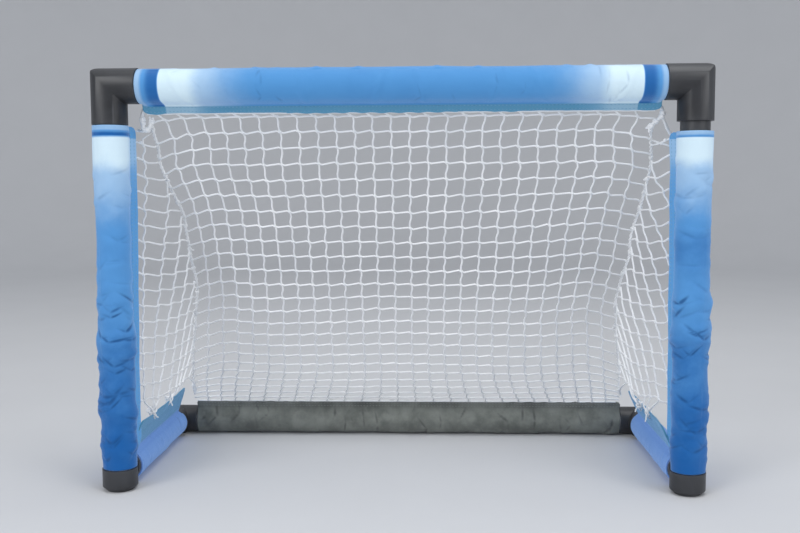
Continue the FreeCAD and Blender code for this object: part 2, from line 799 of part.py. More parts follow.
def side_net_frame():
    """Ends of the left side net's front edge, and the points of its seam edge."""
    post_angle = math.radians(size("post_hem_angle"))
    base_angle = math.radians(size("base_hem_angle"))
    front_x = -size("post_x") + size("hem_reach") * math.cos(post_angle)
    front_y = (-size("rear_y") + size("hem_reach") * math.sin(post_angle)
               + size("cloth") * math.cos(post_angle) + size("net_gap"))
    low_z = (size("base_z") + size("base_hem_reach") * math.sin(base_angle)
             + size("cloth") * math.cos(base_angle) + size("net_gap"))
    high_z = size("bar_z") - size("housing_leg") - size("side_mesh") / 2
    inset = (size("seam_radius") + size("net_gap")) / math.sin(SLOPE)
    heights = seam_heights(height_on_slope(low_z), height_on_slope(high_z))
    seam = [on_slope(Vector(-seam_x(h), h, 0)) - Vector(0, inset, 0) for h in heights]
    return Vector(front_x, front_y, low_z), Vector(front_x, front_y, high_z), seam


def left_side_net():
    front_low, front_high, seam = side_net_frame()
    twine = size("twine")
    aside = Vector(-twine / 2, 0, 0)
    front = [Vector(front_low.x, front_low.y, p.z) for p in seam]
    panels = []
    for low_front, high_front, low_seam, high_seam in zip(front, front[1:], seam, seam[1:]):
        for corners in ((low_front, low_seam, high_front), (high_front, low_seam, high_seam)):
            outline = [p + aside for p in corners + corners[:1]]
            panels.append(Part.Face(Part.Wire(Part.makePolygon(outline))).extrude(Vector(twine, 0, 0)))
    panel = panels[0].multiFuse(panels[1:])
    mesh = size("side_mesh")
    slope_start = seam[0] - Vector(0, twine, 0)
    slope_direction = (seam[-1] - seam[0]).normalize()
    columns = math.ceil((seam[0].y - front_low.y) / mesh)
    rows = round((front_high.z - front_low.z) / mesh)
    row_height = (front_high.z - front_low.z - twine) / rows
    gaps = []
    for row in range(rows):
        for column in range(columns):
            y_low = front_low.y + twine + column * mesh
            z_low = front_low.z + twine + row * row_height
            y_high = y_low + mesh - twine
            z_high = z_low + row_height - twine
            square = [Vector(0, y_low, z_low), Vector(0, y_high, z_low),
                      Vector(0, y_high, z_high), Vector(0, y_low, z_high)]
            corners = clip_behind(square, slope_start, slope_direction)
            if len(corners) > 2 and polygon_area(corners) > mesh * twine:
                outline = [Vector(-size("post_x"), c.y, c.z) for c in corners + corners[:1]]
                face = Part.Face(Part.Wire(Part.makePolygon(outline)))
                gaps.append(face.extrude(Vector(size("post_x") / 2, 0, 0)))
    return panel.cut(Part.Compound(gaps))


node("left_side_net", feature(left_side_net()))


# Seam lacing: cord wound along the meeting edges of the back and side nets


def left_seam():
    """Round bar through the seam's bends, mitred at each."""
    points = [on_slope(Vector(-seam_x(h), h, 0)) for h in seam_heights(3, NET_LENGTH - 14)]
    path = Part.Wire(Part.makePolygon(points))
    start = points[1] - points[0]
    section = Part.Wire(Part.Circle(points[0], start, size("seam_radius")).toShape())
    return path.makePipeShell([section], True, False, 1)


node("left_seam_lacing", feature(left_seam()))


# Corner tie: a knot that joins the crossbar's hem, the post's hem and the seam


def left_corner_tie():
    tie = size("tie_radius")
    bar_hem = on_slope(Vector(-seam_x(NET_LENGTH) - 1.5, NET_LENGTH - tie, 0))
    post_angle = math.radians(size("post_hem_angle"))
    post_hem = Vector(-size("post_x") + (size("hem_reach") - 2) * math.cos(post_angle),
                      -size("rear_y") + (size("hem_reach") - 2) * math.sin(post_angle),
                      size("bar_z") - size("housing_leg") - size("sleeve_gap") + tie)
    knot = (bar_hem + post_hem) * 0.5 + Vector(0, 0, -1.5)
    half_knot = Vector(0, 0, size("knot_length") / 2)
    pieces = [Part.makeCylinder(size("knot_radius"), size("knot_length"), knot - half_knot)]
    for end in (bar_hem, post_hem):
        run = end - knot
        pieces.append(Part.makeCylinder(tie, run.Length, knot, run))
    return pieces[0].multiFuse(pieces[1:])


node("left_corner_tie", feature(left_corner_tie()))


# Base knots: the side net's lower edge is drawn down to its hem at two knots


def left_base_knots():
    front_low, front_high, seam = side_net_frame()
    radius = size("knot_radius")
    length = size("knot_length")
    knots = []
    for y in BASE_KNOTS_Y:
        share = (y + length / 2 - front_low.y) / (seam[0].y - front_low.y)
        net_x = front_low.x + (seam[0].x - front_low.x) * share + size("twine") / 2
        start = Vector(net_x + size("net_gap") + radius, y - length / 2, front_low.z + radius)
        knots.append(Part.makeCylinder(radius, length, start, Vector(0, 1, 0)))
    return Part.Compound(knots)


node("left_base_knots", feature(left_base_knots()))


# The right-hand pieces are mirror images of the left-hand ones

for label in [label for label in NODES if label.startswith("left_")]:
    image = doc.addObject("Part::Mirroring", "Mirror")
    image.Source = NODES[label]
    image.Normal = Vector(1, 0, 0)
    node("right_" + label[len("left_"):], image)


doc.recompute()

for obj in doc.Objects:
    if "Invalid" in obj.State or "Error" in obj.State:
        raise RuntimeError(f"{obj.Name} ({obj.Label}) failed: {obj.State}")
for label, obj in NODES.items():
    if obj.Shape.isNull() or not obj.Shape.isValid() or not obj.Shape.Solids:
        raise RuntimeError(f"{label} has no valid shape")

os.makedirs("parts", exist_ok=True)
for label, obj in NODES.items():
    obj.Shape.exportStep(os.path.join("parts", label + ".step"))
    print(label, len(obj.Shape.Solids), "solids", round(obj.Shape.Volume / 1000, 2), "cm3")
print(len(NODES), "nodes")
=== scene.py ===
import math

import bmesh
import bpy
import numpy as np
from mathutils import Matrix, Vector


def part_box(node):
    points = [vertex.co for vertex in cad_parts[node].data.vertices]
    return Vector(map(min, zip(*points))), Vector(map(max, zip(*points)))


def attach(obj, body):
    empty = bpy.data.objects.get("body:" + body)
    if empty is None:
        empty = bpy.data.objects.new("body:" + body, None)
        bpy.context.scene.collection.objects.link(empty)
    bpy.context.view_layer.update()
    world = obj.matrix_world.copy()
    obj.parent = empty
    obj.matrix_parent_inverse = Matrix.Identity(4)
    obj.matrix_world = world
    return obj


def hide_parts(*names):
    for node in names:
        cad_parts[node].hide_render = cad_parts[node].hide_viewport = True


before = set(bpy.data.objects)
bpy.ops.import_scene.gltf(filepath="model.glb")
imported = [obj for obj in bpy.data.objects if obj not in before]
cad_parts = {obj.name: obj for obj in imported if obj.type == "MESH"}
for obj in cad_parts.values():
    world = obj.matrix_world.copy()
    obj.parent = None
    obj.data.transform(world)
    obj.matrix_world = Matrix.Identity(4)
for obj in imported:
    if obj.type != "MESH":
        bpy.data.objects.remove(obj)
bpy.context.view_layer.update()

mm = 0.001


# The rear corners and front feet.
# Injection-moulded black plastic with a fine spark-eroded grain and slightly rubbed edges.
# The tubes are pushed over their spigots; the goal stands on their square pads and round soles.

SIDES = {"left": -1, "right": 1}
FITTING_BLACK = (0.018, 0.019, 0.022)


class Wire:
    """A node's output that can be added, multiplied or compared like a number."""

    def __init__(self, tree, socket):
        self.tree = tree
        self.socket = socket

    def out(self, name):
        return Wire(self.tree, self.socket.node.outputs[name])

    def maths(self, operation, *values):
        return self.tree.node("ShaderNodeMath", {"operation": operation}, dict(enumerate(values)))

    def __rsub__(self, other):
        return self.maths("SUBTRACT", other, self)

    def ramp(self, low, high):
        """0 below low, 1 above high, and a smooth step between."""
        return self.tree.node("ShaderNodeMapRange", {"interpolation_type": "SMOOTHSTEP"},
                              {"Value": self, "From Min": low, "From Max": high})


# The signs and words of arithmetic that a wire answers to, and the sum that each one does.
for word, operation in {
        "__add__": "ADD", "__radd__": "ADD", "__sub__": "SUBTRACT", "__mul__": "MULTIPLY",
        "__rmul__": "MULTIPLY", "__abs__": "ABSOLUTE", "sine": "SINE", "least": "MINIMUM",
        "most": "MAXIMUM", "over": "GREATER_THAN"}.items():
    setattr(Wire, word, lambda *values, operation=operation: values[0].maths(operation, *values))


class Tree:
    """A node tree and the one way that nodes are added to it."""

    def __init__(self, tree):
        self.tree = tree

    def node(self, kind, settings=None, sockets=None, output=0):
        node = self.tree.nodes.new(kind)
        for name, value in (settings or {}).items():
            setattr(node, name, value)
        for name, value in (sockets or {}).items():
            socket = node.inputs[name]
            if isinstance(value, Wire):
                self.tree.links.new(value.socket, socket)
            elif hasattr(value, "__len__") and socket.type == "RGBA":
                socket.default_value = (*value, 1)
            else:
                socket.default_value = value
        return Wire(self, node.outputs[output]) if len(node.outputs) else None


class Finish(Tree):
    """A material with one Principled shader."""

    def __init__(self, name):
        self.material = bpy.data.materials.new(name)
        self.material.use_nodes = True
        super().__init__(self.material.node_tree)
        self.tree.nodes.clear()

    def coordinates(self, scale=1.0, turn=(0, 0, 0)):
        """The piece's own coordinates, in millimetres over the scale."""
        place = self.node("ShaderNodeTexCoord").out("Object")
        return self.node("ShaderNodeMapping", {}, {
            "Vector": place, "Scale": (1000 / scale,) * 3, "Rotation": turn})

    def noise(self, size, detail=2.0, rough=0.5, turn=(0, 0, 0)):
        """A cloudy pattern with its blots about size mm apart."""
        return self.node("ShaderNodeTexNoise", {}, {
            "Vector": self.coordinates(size, turn), "Scale": 1.0, "Detail": detail, "Roughness": rough})

    def height(self):
        """How high a point is, in mm."""
        return self.node("ShaderNodeSeparateXYZ", {}, {"Vector": self.coordinates()}).out("Z")

    def mix(self, amount, first, second):
        return self.node("ShaderNodeMix", {"data_type": "RGBA"}, {0: amount, 6: first, 7: second}, 2)

    def bump(self, height, distance, strength=1.0, under=None):
        sockets = {"Height": height, "Distance": distance, "Strength": strength}
        if under is not None:
            sockets["Normal"] = under
        return self.node("ShaderNodeBump", {}, sockets)

    def done(self, **sockets):
        named = {name.replace("_", " "): value for name, value in sockets.items()}
        shader = self.node("ShaderNodeBsdfPrincipled", {}, named)
        self.node("ShaderNodeOutputMaterial", {}, {"Surface": shader})
        return self.material


def dress(node, material):
    """Gives a frame node its finish."""
    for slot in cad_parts[node].material_slots:
        slot.material = material


def placed(name, data):
    """Puts a mesh, a lamp or a camera in the scene."""
    thing = bpy.data.objects.new(name, data)
    bpy.context.collection.objects.link(thing)
    return thing


def cast(shape, mesh, outwards=True):
    """Puts a worked shape into a mesh, with its faces turned outwards unless they are already."""
    if outwards:
        bmesh.ops.recalc_face_normals(shape, faces=shape.faces)
    shape.to_mesh(mesh)
    shape.free()
    return mesh


def shown(name, mesh, material, node=None, body="goal"):
    """Shows a finished mesh on a body and the frame node that it stands for."""
    piece = placed(name, mesh)
    if material is not None:
        mesh.materials.clear()
        mesh.materials.append(material)
    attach(piece, body)
    if node is not None:
        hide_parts(node)
    return piece


def eased_copy(node, name, material, edge, body="goal"):
    """The node's own shape with its edges eased as a mould leaves them, shown in its stead."""
    flat, smooth, sharp = (math.radians(angle) for angle in (1.5, 32, 40))
    mould = bmesh.new()
    mould.from_mesh(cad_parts[node].data)
    bmesh.ops.remove_doubles(mould, verts=mould.verts, dist=0.002 * mm)
    bmesh.ops.dissolve_limit(mould, angle_limit=flat, verts=mould.verts, edges=mould.edges)
    for face in mould.faces:
        face.smooth = True
    for bend in mould.edges:
        bend.smooth = len(bend.link_faces) == 2 and bend.calc_face_angle(0) < smooth
    mesh = cast(mould, bpy.data.meshes.new(name), outwards=False)
    piece = shown(name, mesh, material, node, body)
    bevel = piece.modifiers.new("eased edges", "BEVEL")
    bevel.width = edge * mm
    bevel.segments = 2
    bevel.limit_method = "ANGLE"
    bevel.angle_limit = sharp
    bevel.use_clamp_overlap = True
    bevel.harden_normals = True


def moulded_black(name, shade=FITTING_BLACK, grain=1.0):
    """Spark-eroded black plastic, a little greyer where it is rubbed."""
    paint = Finish(name)
    fine = paint.noise(0.45, 3.0, 0.6)
    cloud = paint.noise(26, 4.0, 0.55)
    scuff = paint.noise(5, 6.0, 0.7, (0.4, 0.9, 0.2)).ramp(0.6, 0.78)
    worn = paint.node("ShaderNodeNewGeometry").out("Pointiness").ramp(0.51, 0.56)
    colour = paint.mix(cloud.ramp(0.35, 0.7) * 0.5, shade, tuple(2.0 * c for c in shade))
    colour = paint.mix((worn * 0.35 + scuff * 0.12).least(1), colour, (0.10, 0.105, 0.115))
    return paint.done(Base_Color=colour, Roughness=0.36 + 0.12 * cloud + 0.16 * scuff,
                      Normal=paint.bump(fine, 0.05 * mm * grain, 0.5), Specular_IOR_Level=0.5)


fitting_black = moulded_black("satin black plastic")
for side in SIDES:
    eased_copy(f"{side}_front_foot", f"{side}_foot_socket", fitting_black, 0.5)
    eased_copy(f"{side}_rear_elbow", f"{side}_rear_corner", fitting_black, 0.5)


# The frame tubes.
# Six lengths of milky white extruded pipe, sawn square and pushed onto the corner spigots.
# Extrusion leaves faint lines along them, and the black spigot shows through the top of each post.

tube_paint = Finish("milky extruded pipe")
tube_lines = tube_paint.noise(3, 3.0)
tube_height = tube_paint.height()
over_spigot = tube_height.ramp(407.5, 410) * (1 - tube_height.ramp(432, 433))
milky_colour = tube_paint.mix(tube_paint.noise(40), (0.62, 0.65, 0.70), (0.78, 0.80, 0.84))
milky = tube_paint.done(
    Base_Color=tube_paint.mix(over_spigot * 0.96, milky_colour, FITTING_BLACK),
    Roughness=0.34 + 0.14 * tube_lines,
    Normal=tube_paint.bump(tube_lines, 0.04 * mm, 0.4),
)
for node in ("crossbar_tube", "rear_base_tube", "left_post_tube", "right_post_tube",
             "left_base_tube", "right_base_tube"):
    dress(node, milky)


# The corner housings.
# Each is a front and a rear shell, held together by their half spigots in the tube bores. A battery
# door with a stepped lip sits at the back; its screw bites into a boss of the front shell.

housing_black = moulded_black("satin black housing", (0.016, 0.017, 0.020), 0.8)
for side in SIDES:
    eased_copy(f"{side}_front_shell", f"{side}_housing_front", housing_black, 0.4)
    eased_copy(f"{side}_rear_shell", f"{side}_housing_rear", housing_black, 0.3)
    eased_copy(f"{side}_battery_door", f"{side}_door", housing_black, 0.25,
               f"{side}_battery_door")


def grained(name, dark, light, grain, gloss, relief, cloud=None, sharp=None, **more):
    """A finish whose gloss and relief follow one grain, given as its size in mm and its detail.
    Its colour follows the grain too, or a wider cloud, or the grain in sharp patches."""
    paint = Finish(name)
    fine = paint.noise(*grain)
    patch = paint.noise(cloud, 3.0) if cloud else fine.ramp(*sharp) if sharp else fine
    return paint.done(Base_Color=paint.mix(patch, dark, light), Roughness=gloss[0] + gloss[1] * fine,
                      Normal=paint.bump(fine, relief[0] * mm, relief[1]), **more)


screw_steel = grained("zinc-plated screw steel", (0.52, 0.53, 0.55), (0.70, 0.70, 0.69),
                      (0.6, 4.0), (0.25, 0.2), (0.02, 0.3), Metallic=1.0)


def turned(shape, rings, around, centre=(0.0, 0.0)):
    """Adds a round shape whose axis is along Y: rings of (y, radius), each joined to the next."""
    loops = [[shape.verts.new((centre[0] + reach * math.cos(a), y, centre[1] + reach * math.sin(a)))
              for a in np.linspace(0, math.tau, around, endpoint=False)] for y, reach in rings]
    for low, high in zip(loops, loops[1:]):
        for k in range(around):
            shape.faces.new((low[k], high[k], high[(k + 1) % around], low[(k + 1) % around]))
    shape.faces.new(loops[0])
    return loops


def screw_head(radius, height, name):
    """A pan head with a cross recess, its axis along +Y and its seat at the origin."""
    head = bmesh.new()
    rings = [(0.0, 1.0), (0.45, 1.0), (0.75, 0.93), (0.95, 0.72), (1.0, 0.5)]
    turned(head, [(rise * height, radius * reach) for rise, reach in rings], 24)
    wing, arm = radius * 0.12, radius * 0.44
    outline = [(arm, wing), (wing, wing), (wing, arm), (-wing, arm), (-wing, wing), (-arm, wing),
               (-arm, -wing), (-wing, -wing), (-wing, -arm), (wing, -arm), (wing, -wing), (arm, -wing)]
    rim = [head.verts.new((x, height, z)) for x, z in outline]
    floor = [head.verts.new((x * 0.8, height * 0.45, z * 0.8)) for x, z in outline]
    for k in range(12):
        head.faces.new((rim[k], floor[k], floor[(k + 1) % 12], rim[(k + 1) % 12]))
    head.faces.new(floor)
    open_edges = [e for e in head.edges if len(e.link_faces) == 1]
    bmesh.ops.triangle_fill(head, edges=open_edges, use_beauty=True, normal=(0, 1, 0))
    return cast(head, bpy.data.meshes.new(name))


HEAD_RADIUS = 2.1 * mm
HEAD_HEIGHT = 1.8 * mm
THREADS = 26
for side, sign in SIDES.items():
    low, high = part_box(f"{side}_door_screw")
    middle = (low + high) / 2
    seat = high.y - HEAD_HEIGHT
    head = screw_head(HEAD_RADIUS, HEAD_HEIGHT, f"{side}_door_screw_head")
    head.transform(Matrix.Translation((middle.x, seat, middle.z)) @ Matrix.Rotation(0.4 * sign, 4, "Y"))
    shank = bmesh.new()
    bulges = [0.35] + [1.2 if k % 2 else 0.95 for k in range(1, THREADS + 1)]
    loops = turned(shank, [(low.y + (seat - low.y) * k / THREADS, bulge * mm)
                           for k, bulge in enumerate(bulges)], 16, (middle.x, middle.z))
    shank.faces.new(loops[-1])
    shank.from_mesh(head)
    shown(f"{side}_door_screw_steel", cast(shank, head), screw_steel,
          f"{side}_door_screw", f"{side}_battery_door")


# The power parts inside each housing.
# Three small cells stand side by side between sprung nickel contacts. A board on the rear wall carries
# the touch switch under the soft button, and flat leads feed two lamps that shine down the tubes.

cell_paint = Finish("printed-film cell")
cell_low, cell_high = (corner.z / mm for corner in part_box("left_battery_cells"))
cell_height = cell_paint.height()
cell_band = cell_height.ramp(cell_high - 14.2, cell_high - 13.8)
cell_end = cell_height.ramp(cell_high - 1.4, cell_high - 1.2).most(
    1 - cell_height.ramp(cell_low + 0.5, cell_low + 0.7))
cell_film = cell_paint.mix(cell_band, (0.035, 0.045, 0.065), (0.42, 0.20, 0.07))
cell_dust = cell_paint.noise(4, 4.0)
cell_wrap = cell_paint.done(
    Base_Color=cell_paint.mix(cell_end, cell_film, (0.66, 0.66, 0.64)),
    Metallic=cell_end,
    Roughness=0.24 + 0.16 * cell_dust,
    Normal=cell_paint.bump(cell_dust, 0.05 * mm, 0.2),
)

contact_nickel = grained("nickel-plated spring strip", (0.55, 0.54, 0.50), (0.74, 0.73, 0.69),
                         (0.8, 5.0), (0.22, 0.22), (0.03, 0.3), Metallic=1.0)

board_paint = Finish("green lacquered board")
board_wave = board_paint.node(
    "ShaderNodeTexWave", {"wave_type": "BANDS", "bands_direction": "Z"},
    {"Vector": board_paint.coordinates(9), "Scale": 1.2, "Distortion": 2.5, "Detail": 0.0})
board_track = board_wave.out("Fac").ramp(0.62, 0.66)
board_speck = board_paint.noise(1.5, 3.0)
lacquered = board_paint.done(
    Base_Color=board_paint.mix(board_track, (0.010, 0.085, 0.035), (0.022, 0.150, 0.060)),
    Roughness=0.26 + 0.2 * board_speck,
    Normal=board_paint.bump(board_track + 0.15 * board_speck, 0.06 * mm, 0.5),
)

lamp_paint = Finish("clear lamp over a lit die")
lamp_cloud = lamp_paint.noise(2, 1.0)
lamp_lit = lamp_paint.done(
    Base_Color=(0.86, 0.92, 1.0),
    Roughness=0.12 + 0.1 * lamp_cloud,
    Emission_Color=lamp_paint.mix(lamp_cloud, (0.65, 0.82, 1.0), (0.85, 0.93, 1.0)),
    Emission_Strength=1.2,
)

INNER_FINISHES = {
    "battery_cells": cell_wrap,
    "battery_contacts": contact_nickel,
    "circuit_board": lacquered,
    "touch_switch": moulded_black("switch case", (0.012, 0.012, 0.013), 0.5),
    "lamp_boards": lacquered,
    "lamps": lamp_lit,
    "lamp_leads": grained("red and black vinyl leads", (0.30, 0.018, 0.014), (0.38, 0.030, 0.024),
                          (2.2, 4.0), (0.34, 0.2), (0.05, 0.3), sharp=(0.42, 0.58)),
}
button_rubber = grained("soft grey button rubber", (0.055, 0.056, 0.060), (0.095, 0.096, 0.100),
                        (0.35, 3.0), (0.62, 0.2), (0.05, 0.6), cloud=6, Sheen_Weight=0.2)
for side in SIDES:
    for piece_name, finish in INNER_FINISHES.items():
        dress(f"{side}_{piece_name}", finish)
    eased_copy(f"{side}_power_button", f"{side}_soft_button", button_rubber, 0.3,
               f"{side}_power_button")


# The cloth sleeves.
# Thin blue woven cloth, wrapped round each tube and sewn to itself along a flat hem for the net.
# Lamps in the upper corners light the ends from inside; that glow is painted light, fixed in the blue
# cloth's colour and emission. The rear sleeve is plain grey and unlit.

POST_X, REAR_Y, BAR_Z, BASE_Z = 335, 132, 474.5, 20.5
POST_TOP, POST_FOOT = 429.5, 27
TUBE_AXIS_TO_CLOTH = 17.6
CLOTH_THICKNESS = 0.8 * mm
CLOTH_STEP = 1.6
HEM_REACH, HEM_WIDTH, HEM_HALF_THICKNESS = 35, 11, 0.65


def soft_noise(u, v, seed, octaves=3):
    """A smooth random field of about -1 to 1, the same at each run."""
    luck = np.random.default_rng(seed)
    total = np.zeros_like(u)
    for octave in range(octaves):
        for _ in range(5):
            way, start = luck.uniform(0, math.tau, 2)
            fine = 2.0 ** octave
            wave = np.sin((u * math.cos(way) + v * math.sin(way)) * fine + start)
            total = total + wave / (2.3 * fine)
    return total / 1.9


def ridge(distance, width):
    return np.exp(-(distance / width) ** 2)


def creases(s, turn, seed, low, high, count, size=1.0, spread=1.0):
    """Short soft folds that leave a point in slanting pairs, as in cloth pushed together along its
    tube: the lift in mm and how deep in a fold each point is, kept as painted shade for the valleys.
    A larger spread makes them longer and fainter."""
    luck = np.random.default_rng(seed)
    lift, fold = np.zeros_like(s), np.zeros_like(s)
    lap = TUBE_AXIS_TO_CLOTH * math.tau
    for _ in range(count):
        at, where = luck.uniform(low, high), luck.uniform(-lap / 2, lap / 2)
        for side in (1, -1):
            strong, slant = size * luck.uniform(0.25, 1.0), luck.uniform(-0.1, 0.95)
            run, width = luck.uniform(12, 32) * spread, luck.uniform(1.4, 2.3) * spread
            bend = luck.uniform(-3, 3)
            round_way = (TUBE_AXIS_TO_CLOTH * turn - where + lap / 2) % lap - lap / 2
            along = side * round_way * math.cos(slant) - (s - at) * math.sin(slant)
            across = round_way * math.sin(slant) + side * (s - at) * math.cos(slant)
            gone = np.clip(along / run, -0.5, 1.5)
            across = across + bend * (gone - 0.3) ** 2
            taper = np.clip((gone + 0.15) / 0.3, 0, 1) * np.clip((1 - gone) / 0.65, 0, 1)
            valley = strong * taper * ridge(across, width)
            lift = lift + strong * taper * ridge(across - 2.7 * width, 2.3 * width) - 0.55 * valley
            fold = np.maximum(fold, valley / spread ** 2)
    return lift, fold


def run_along(line):
    """How far along a line of points each one is."""
    return np.concatenate([[0], np.cumsum(np.linalg.norm(np.diff(line, axis=0), axis=1))])


def mark(mesh, **marks):
    """Numbers on a mesh's points, one set for each name."""
    for name, values in marks.items():
        data = mesh.attributes.new(name, "FLOAT", "POINT").data
        data.foreach_set("value", np.array(values, dtype=np.float32).ravel())


def sleeve_section(reach, hem):
    """The closed line of the cloth round the tube and out along both layers of its hem, in mm, and
    how far along that line and how deep in the hem each point is."""
    half, root = HEM_HALF_THICKNESS, reach - hem
    touch = math.atan2(half, root) + math.acos(TUBE_AXIS_TO_CLOTH / math.hypot(root, half))
    circle = [(TUBE_AXIS_TO_CLOTH * math.cos(a), TUBE_AXIS_TO_CLOTH * math.sin(a))
              for a in np.linspace(touch, math.tau - touch, 73)]
    flank = [(circle[0][0] + (root - circle[0][0]) * f, circle[0][1] + (half - circle[0][1]) * f)
             for f in (0.8, 0.6, 0.4, 0.2)]
    layer = [(root + (hem - 0.5) * f, half) for f in np.linspace(1, 0, max(5, int(hem / 2.5)))]
    upper = [(reach - 0.15, half * 0.75)] + layer + flank
    lower = [(x, -y) for x, y in reversed(upper)]
    line = np.array(upper + circle + lower + [(reach, 0.0)])
    depth = np.clip((line[:, 0] - root) / hem, 0, 1)
    return line, run_along(np.vstack([line, line[:1]])), depth


def sleeve(name, node, start, end, hem_way, swell, glow, material, slot, reach=HEM_REACH, hem=HEM_WIDTH,
           scallop=0.0, wring=None, tuck=None):
    """Cloth along a tube. swell and glow take mm from the start and the angle from the hem; wring
    turns the hem about the tube and tuck draws it in, both by mm from the start."""
    start, end, hem_way = Vector(start), Vector(end), Vector(hem_way).normalized()
    length = (end - start).length
    along = (end - start) / length
    side = along.cross(hem_way)
    line, travelled, depth = sleeve_section(reach, hem)
    stations, count = int(length / CLOTH_STEP) + 1, len(line)
    s = np.linspace(0, length, stations)
    grid_s, grid_depth = np.meshgrid(s, depth, indexing="ij")
    grid_turn = np.meshgrid(s, np.arctan2(line[:, 1], line[:, 0]), indexing="ij")[1]
    out = line / np.linalg.norm(line, axis=1)[:, None]
    off_hem = np.clip((TUBE_AXIS_TO_CLOTH * 1.9 - np.abs(line[:, 0])) / 18, 0, 1)
    room = (1 - grid_depth) ** 2 * off_hem
    slack, crease_shade_depth = swell(grid_s, grid_turn)
    lift = slack * np.where(np.abs(grid_turn) < 0.35, 0.3, 1.0) * room
    across = line[None, :, :] + out[None, :, :] * lift[:, :, None]
    wave = (1.3 * soft_noise(grid_s / 34, grid_s * 0 + 1.0, 7)
            + 0.5 * soft_noise(grid_s / 9, grid_s * 0, 9))
    across[:, :, 1] += wave * grid_depth
    across[:, :, 0] += (scallop * np.cos(math.tau * (grid_s - length / 2) / 21.8) * grid_depth
                        + 0.35 * soft_noise(grid_s / 15, grid_s * 0, 3) * grid_depth)
    beyond = np.clip(across[:, :, 0] - TUBE_AXIS_TO_CLOTH, 0, None)
    from_end = np.clip(np.minimum(grid_s, length - grid_s) / 9, 0, 1)
    across[:, :, 0] -= beyond * 0.35 * (1 - np.sqrt(1 - (1 - from_end) ** 2))
    if tuck is not None:
        across[:, :, 0] -= beyond * tuck(grid_s)
    if wring is not None:
        angle = wring(grid_s)
        first, second = across[:, :, 0].copy(), across[:, :, 1].copy()
        across[:, :, 0] = first * np.cos(angle) - second * np.sin(angle)
        across[:, :, 1] = first * np.sin(angle) + second * np.cos(angle)
    places = (np.array(start)[None, None, :] + grid_s[:, :, None] * np.array(along)
              + across[:, :, :1] * np.array(hem_way) + across[:, :, 1:] * np.array(side)) * mm
    places[:, :, 2] = np.maximum(places[:, :, 2], 0.6 * mm)
    index = np.arange(stations * count).reshape(stations, count)
    faces, uvs = [], []
    for k in range(stations - 1):
        for m in range(count):
            n = (m + 1) % count
            faces.append((index[k, m], index[k, n], index[k + 1, n], index[k + 1, m]))
            a, b = s[k] * mm, s[k + 1] * mm
            c, d = travelled[m] * mm, travelled[m + 1] * mm
            uvs += [(a, c), (a, d), (b, d), (b, c)]
    mesh = bpy.data.meshes.new(name)
    mesh.from_pydata(places.reshape(-1, 3).tolist(), [], faces)
    mesh.uv_layers.new(name="cloth").data.foreach_set("uv", np.array(uvs).ravel())
    # The crease mark carries painted shade for the folds' valleys to the cloth finishes.
    mark(mesh, lit=glow(grid_s, grid_turn), hem=grid_depth, fold=crease_shade_depth * room ** 0.5)
    mesh.shade_smooth()
    shape = bmesh.new()
    shape.from_mesh(mesh)
    piece = shown(name, cast(shape, mesh), material, node)
    wall = piece.modifiers.new("cloth thickness", "SOLIDIFY")
    wall.thickness = CLOTH_THICKNESS
    wall.offset = 0
    wall.use_even_offset = False
    seams = []
    for seam_depth_in_hem in (0.12, 0.72):
        for layer in (1, -1):
            near = [m for m in range(count) if line[m, 1] * layer > 0 and depth[m] > 0]
            m = min(near, key=lambda q: abs(depth[q] - seam_depth_in_hem))
            on_top = np.array(side) * layer * (CLOTH_THICKNESS / 2 + 0.15 * mm)
            seams.append(places[3:-3, m, :] + on_top)
    return piece, (travelled[-1] * mm, length * mm), seams


class Fabric(Finish):
    """Plain weave that follows the cloth: its threads are read from the piece's own UV map."""

    def weave(self, pitch):
        threads = self.node("ShaderNodeUVMap", {"uv_map": "cloth"})
        split = self.node("ShaderNodeSeparateXYZ", {}, {"Vector": threads})
        warp = (split.out("X") * (math.tau / pitch)).sine()
        weft = (split.out("Y") * (math.tau / pitch)).sine()
        return abs(warp) * 0.5 + abs(weft) * 0.5 + warp * weft * 0.35

    def attribute(self, name):
        return self.node("ShaderNodeAttribute", {"attribute_name": name}).out("Fac")


def blue_cloth(name, deep, middle, light, pale, hem_tint, uneven=0.16):
    """Cloth with painted light behind it: the lit mark lightens its colour from deep to pale, and about
    two fifths of what shows is that painted glow given as emission.
    """
    paint = Fabric(name)
    lit, hem = paint.attribute("lit"), paint.attribute("hem")
    mottle = paint.noise(42, 4.0, 0.6)
    threads = paint.weave(0.9 * mm)
    slub = paint.noise(1.3, turn=(0.2, 0.1, 0.7))
    # Painted light: the lit mark, made a little uneven by a cloud, sets how far the colour is lightened
    # towards pale.
    strength = (lit + (mottle - 0.5) * uneven).most(0)
    colour = paint.mix(strength.ramp(0.0, 0.36), deep, middle)
    colour = paint.mix(strength.ramp(0.36, 0.74), colour, light)
    colour = paint.mix(strength.ramp(0.72, 0.98), colour, pale)
    colour = paint.mix(hem.ramp(0.02, 0.2) * (1 - 0.35 * strength.ramp(0.5, 1.0)), colour, hem_tint)
    colour = paint.mix(threads * 0.08 + slub * 0.05, colour, deep)
    # Painted shade: the blue cloth darkens towards a deeper blue in the valleys of its folds.
    in_fold = paint.attribute("fold").ramp(0.1, 0.9) * 0.75
    colour = paint.mix(in_fold, colour, tuple(c * 0.55 for c in deep))
    # The painted glow shows in both the base colour and the emission.
    return paint.done(Base_Color=paint.mix(0.36, colour, (0.0, 0.0, 0.0)),
                      Roughness=0.70 + 0.15 * threads,
                      Normal=paint.bump(threads + 0.6 * slub, 0.12 * mm, 0.45),
                      Emission_Color=colour, Emission_Strength=0.40, Specular_IOR_Level=0.25,
                      Sheen_Weight=0.7, Sheen_Roughness=0.45, Sheen_Tint=(0.45, 0.65, 1.0))


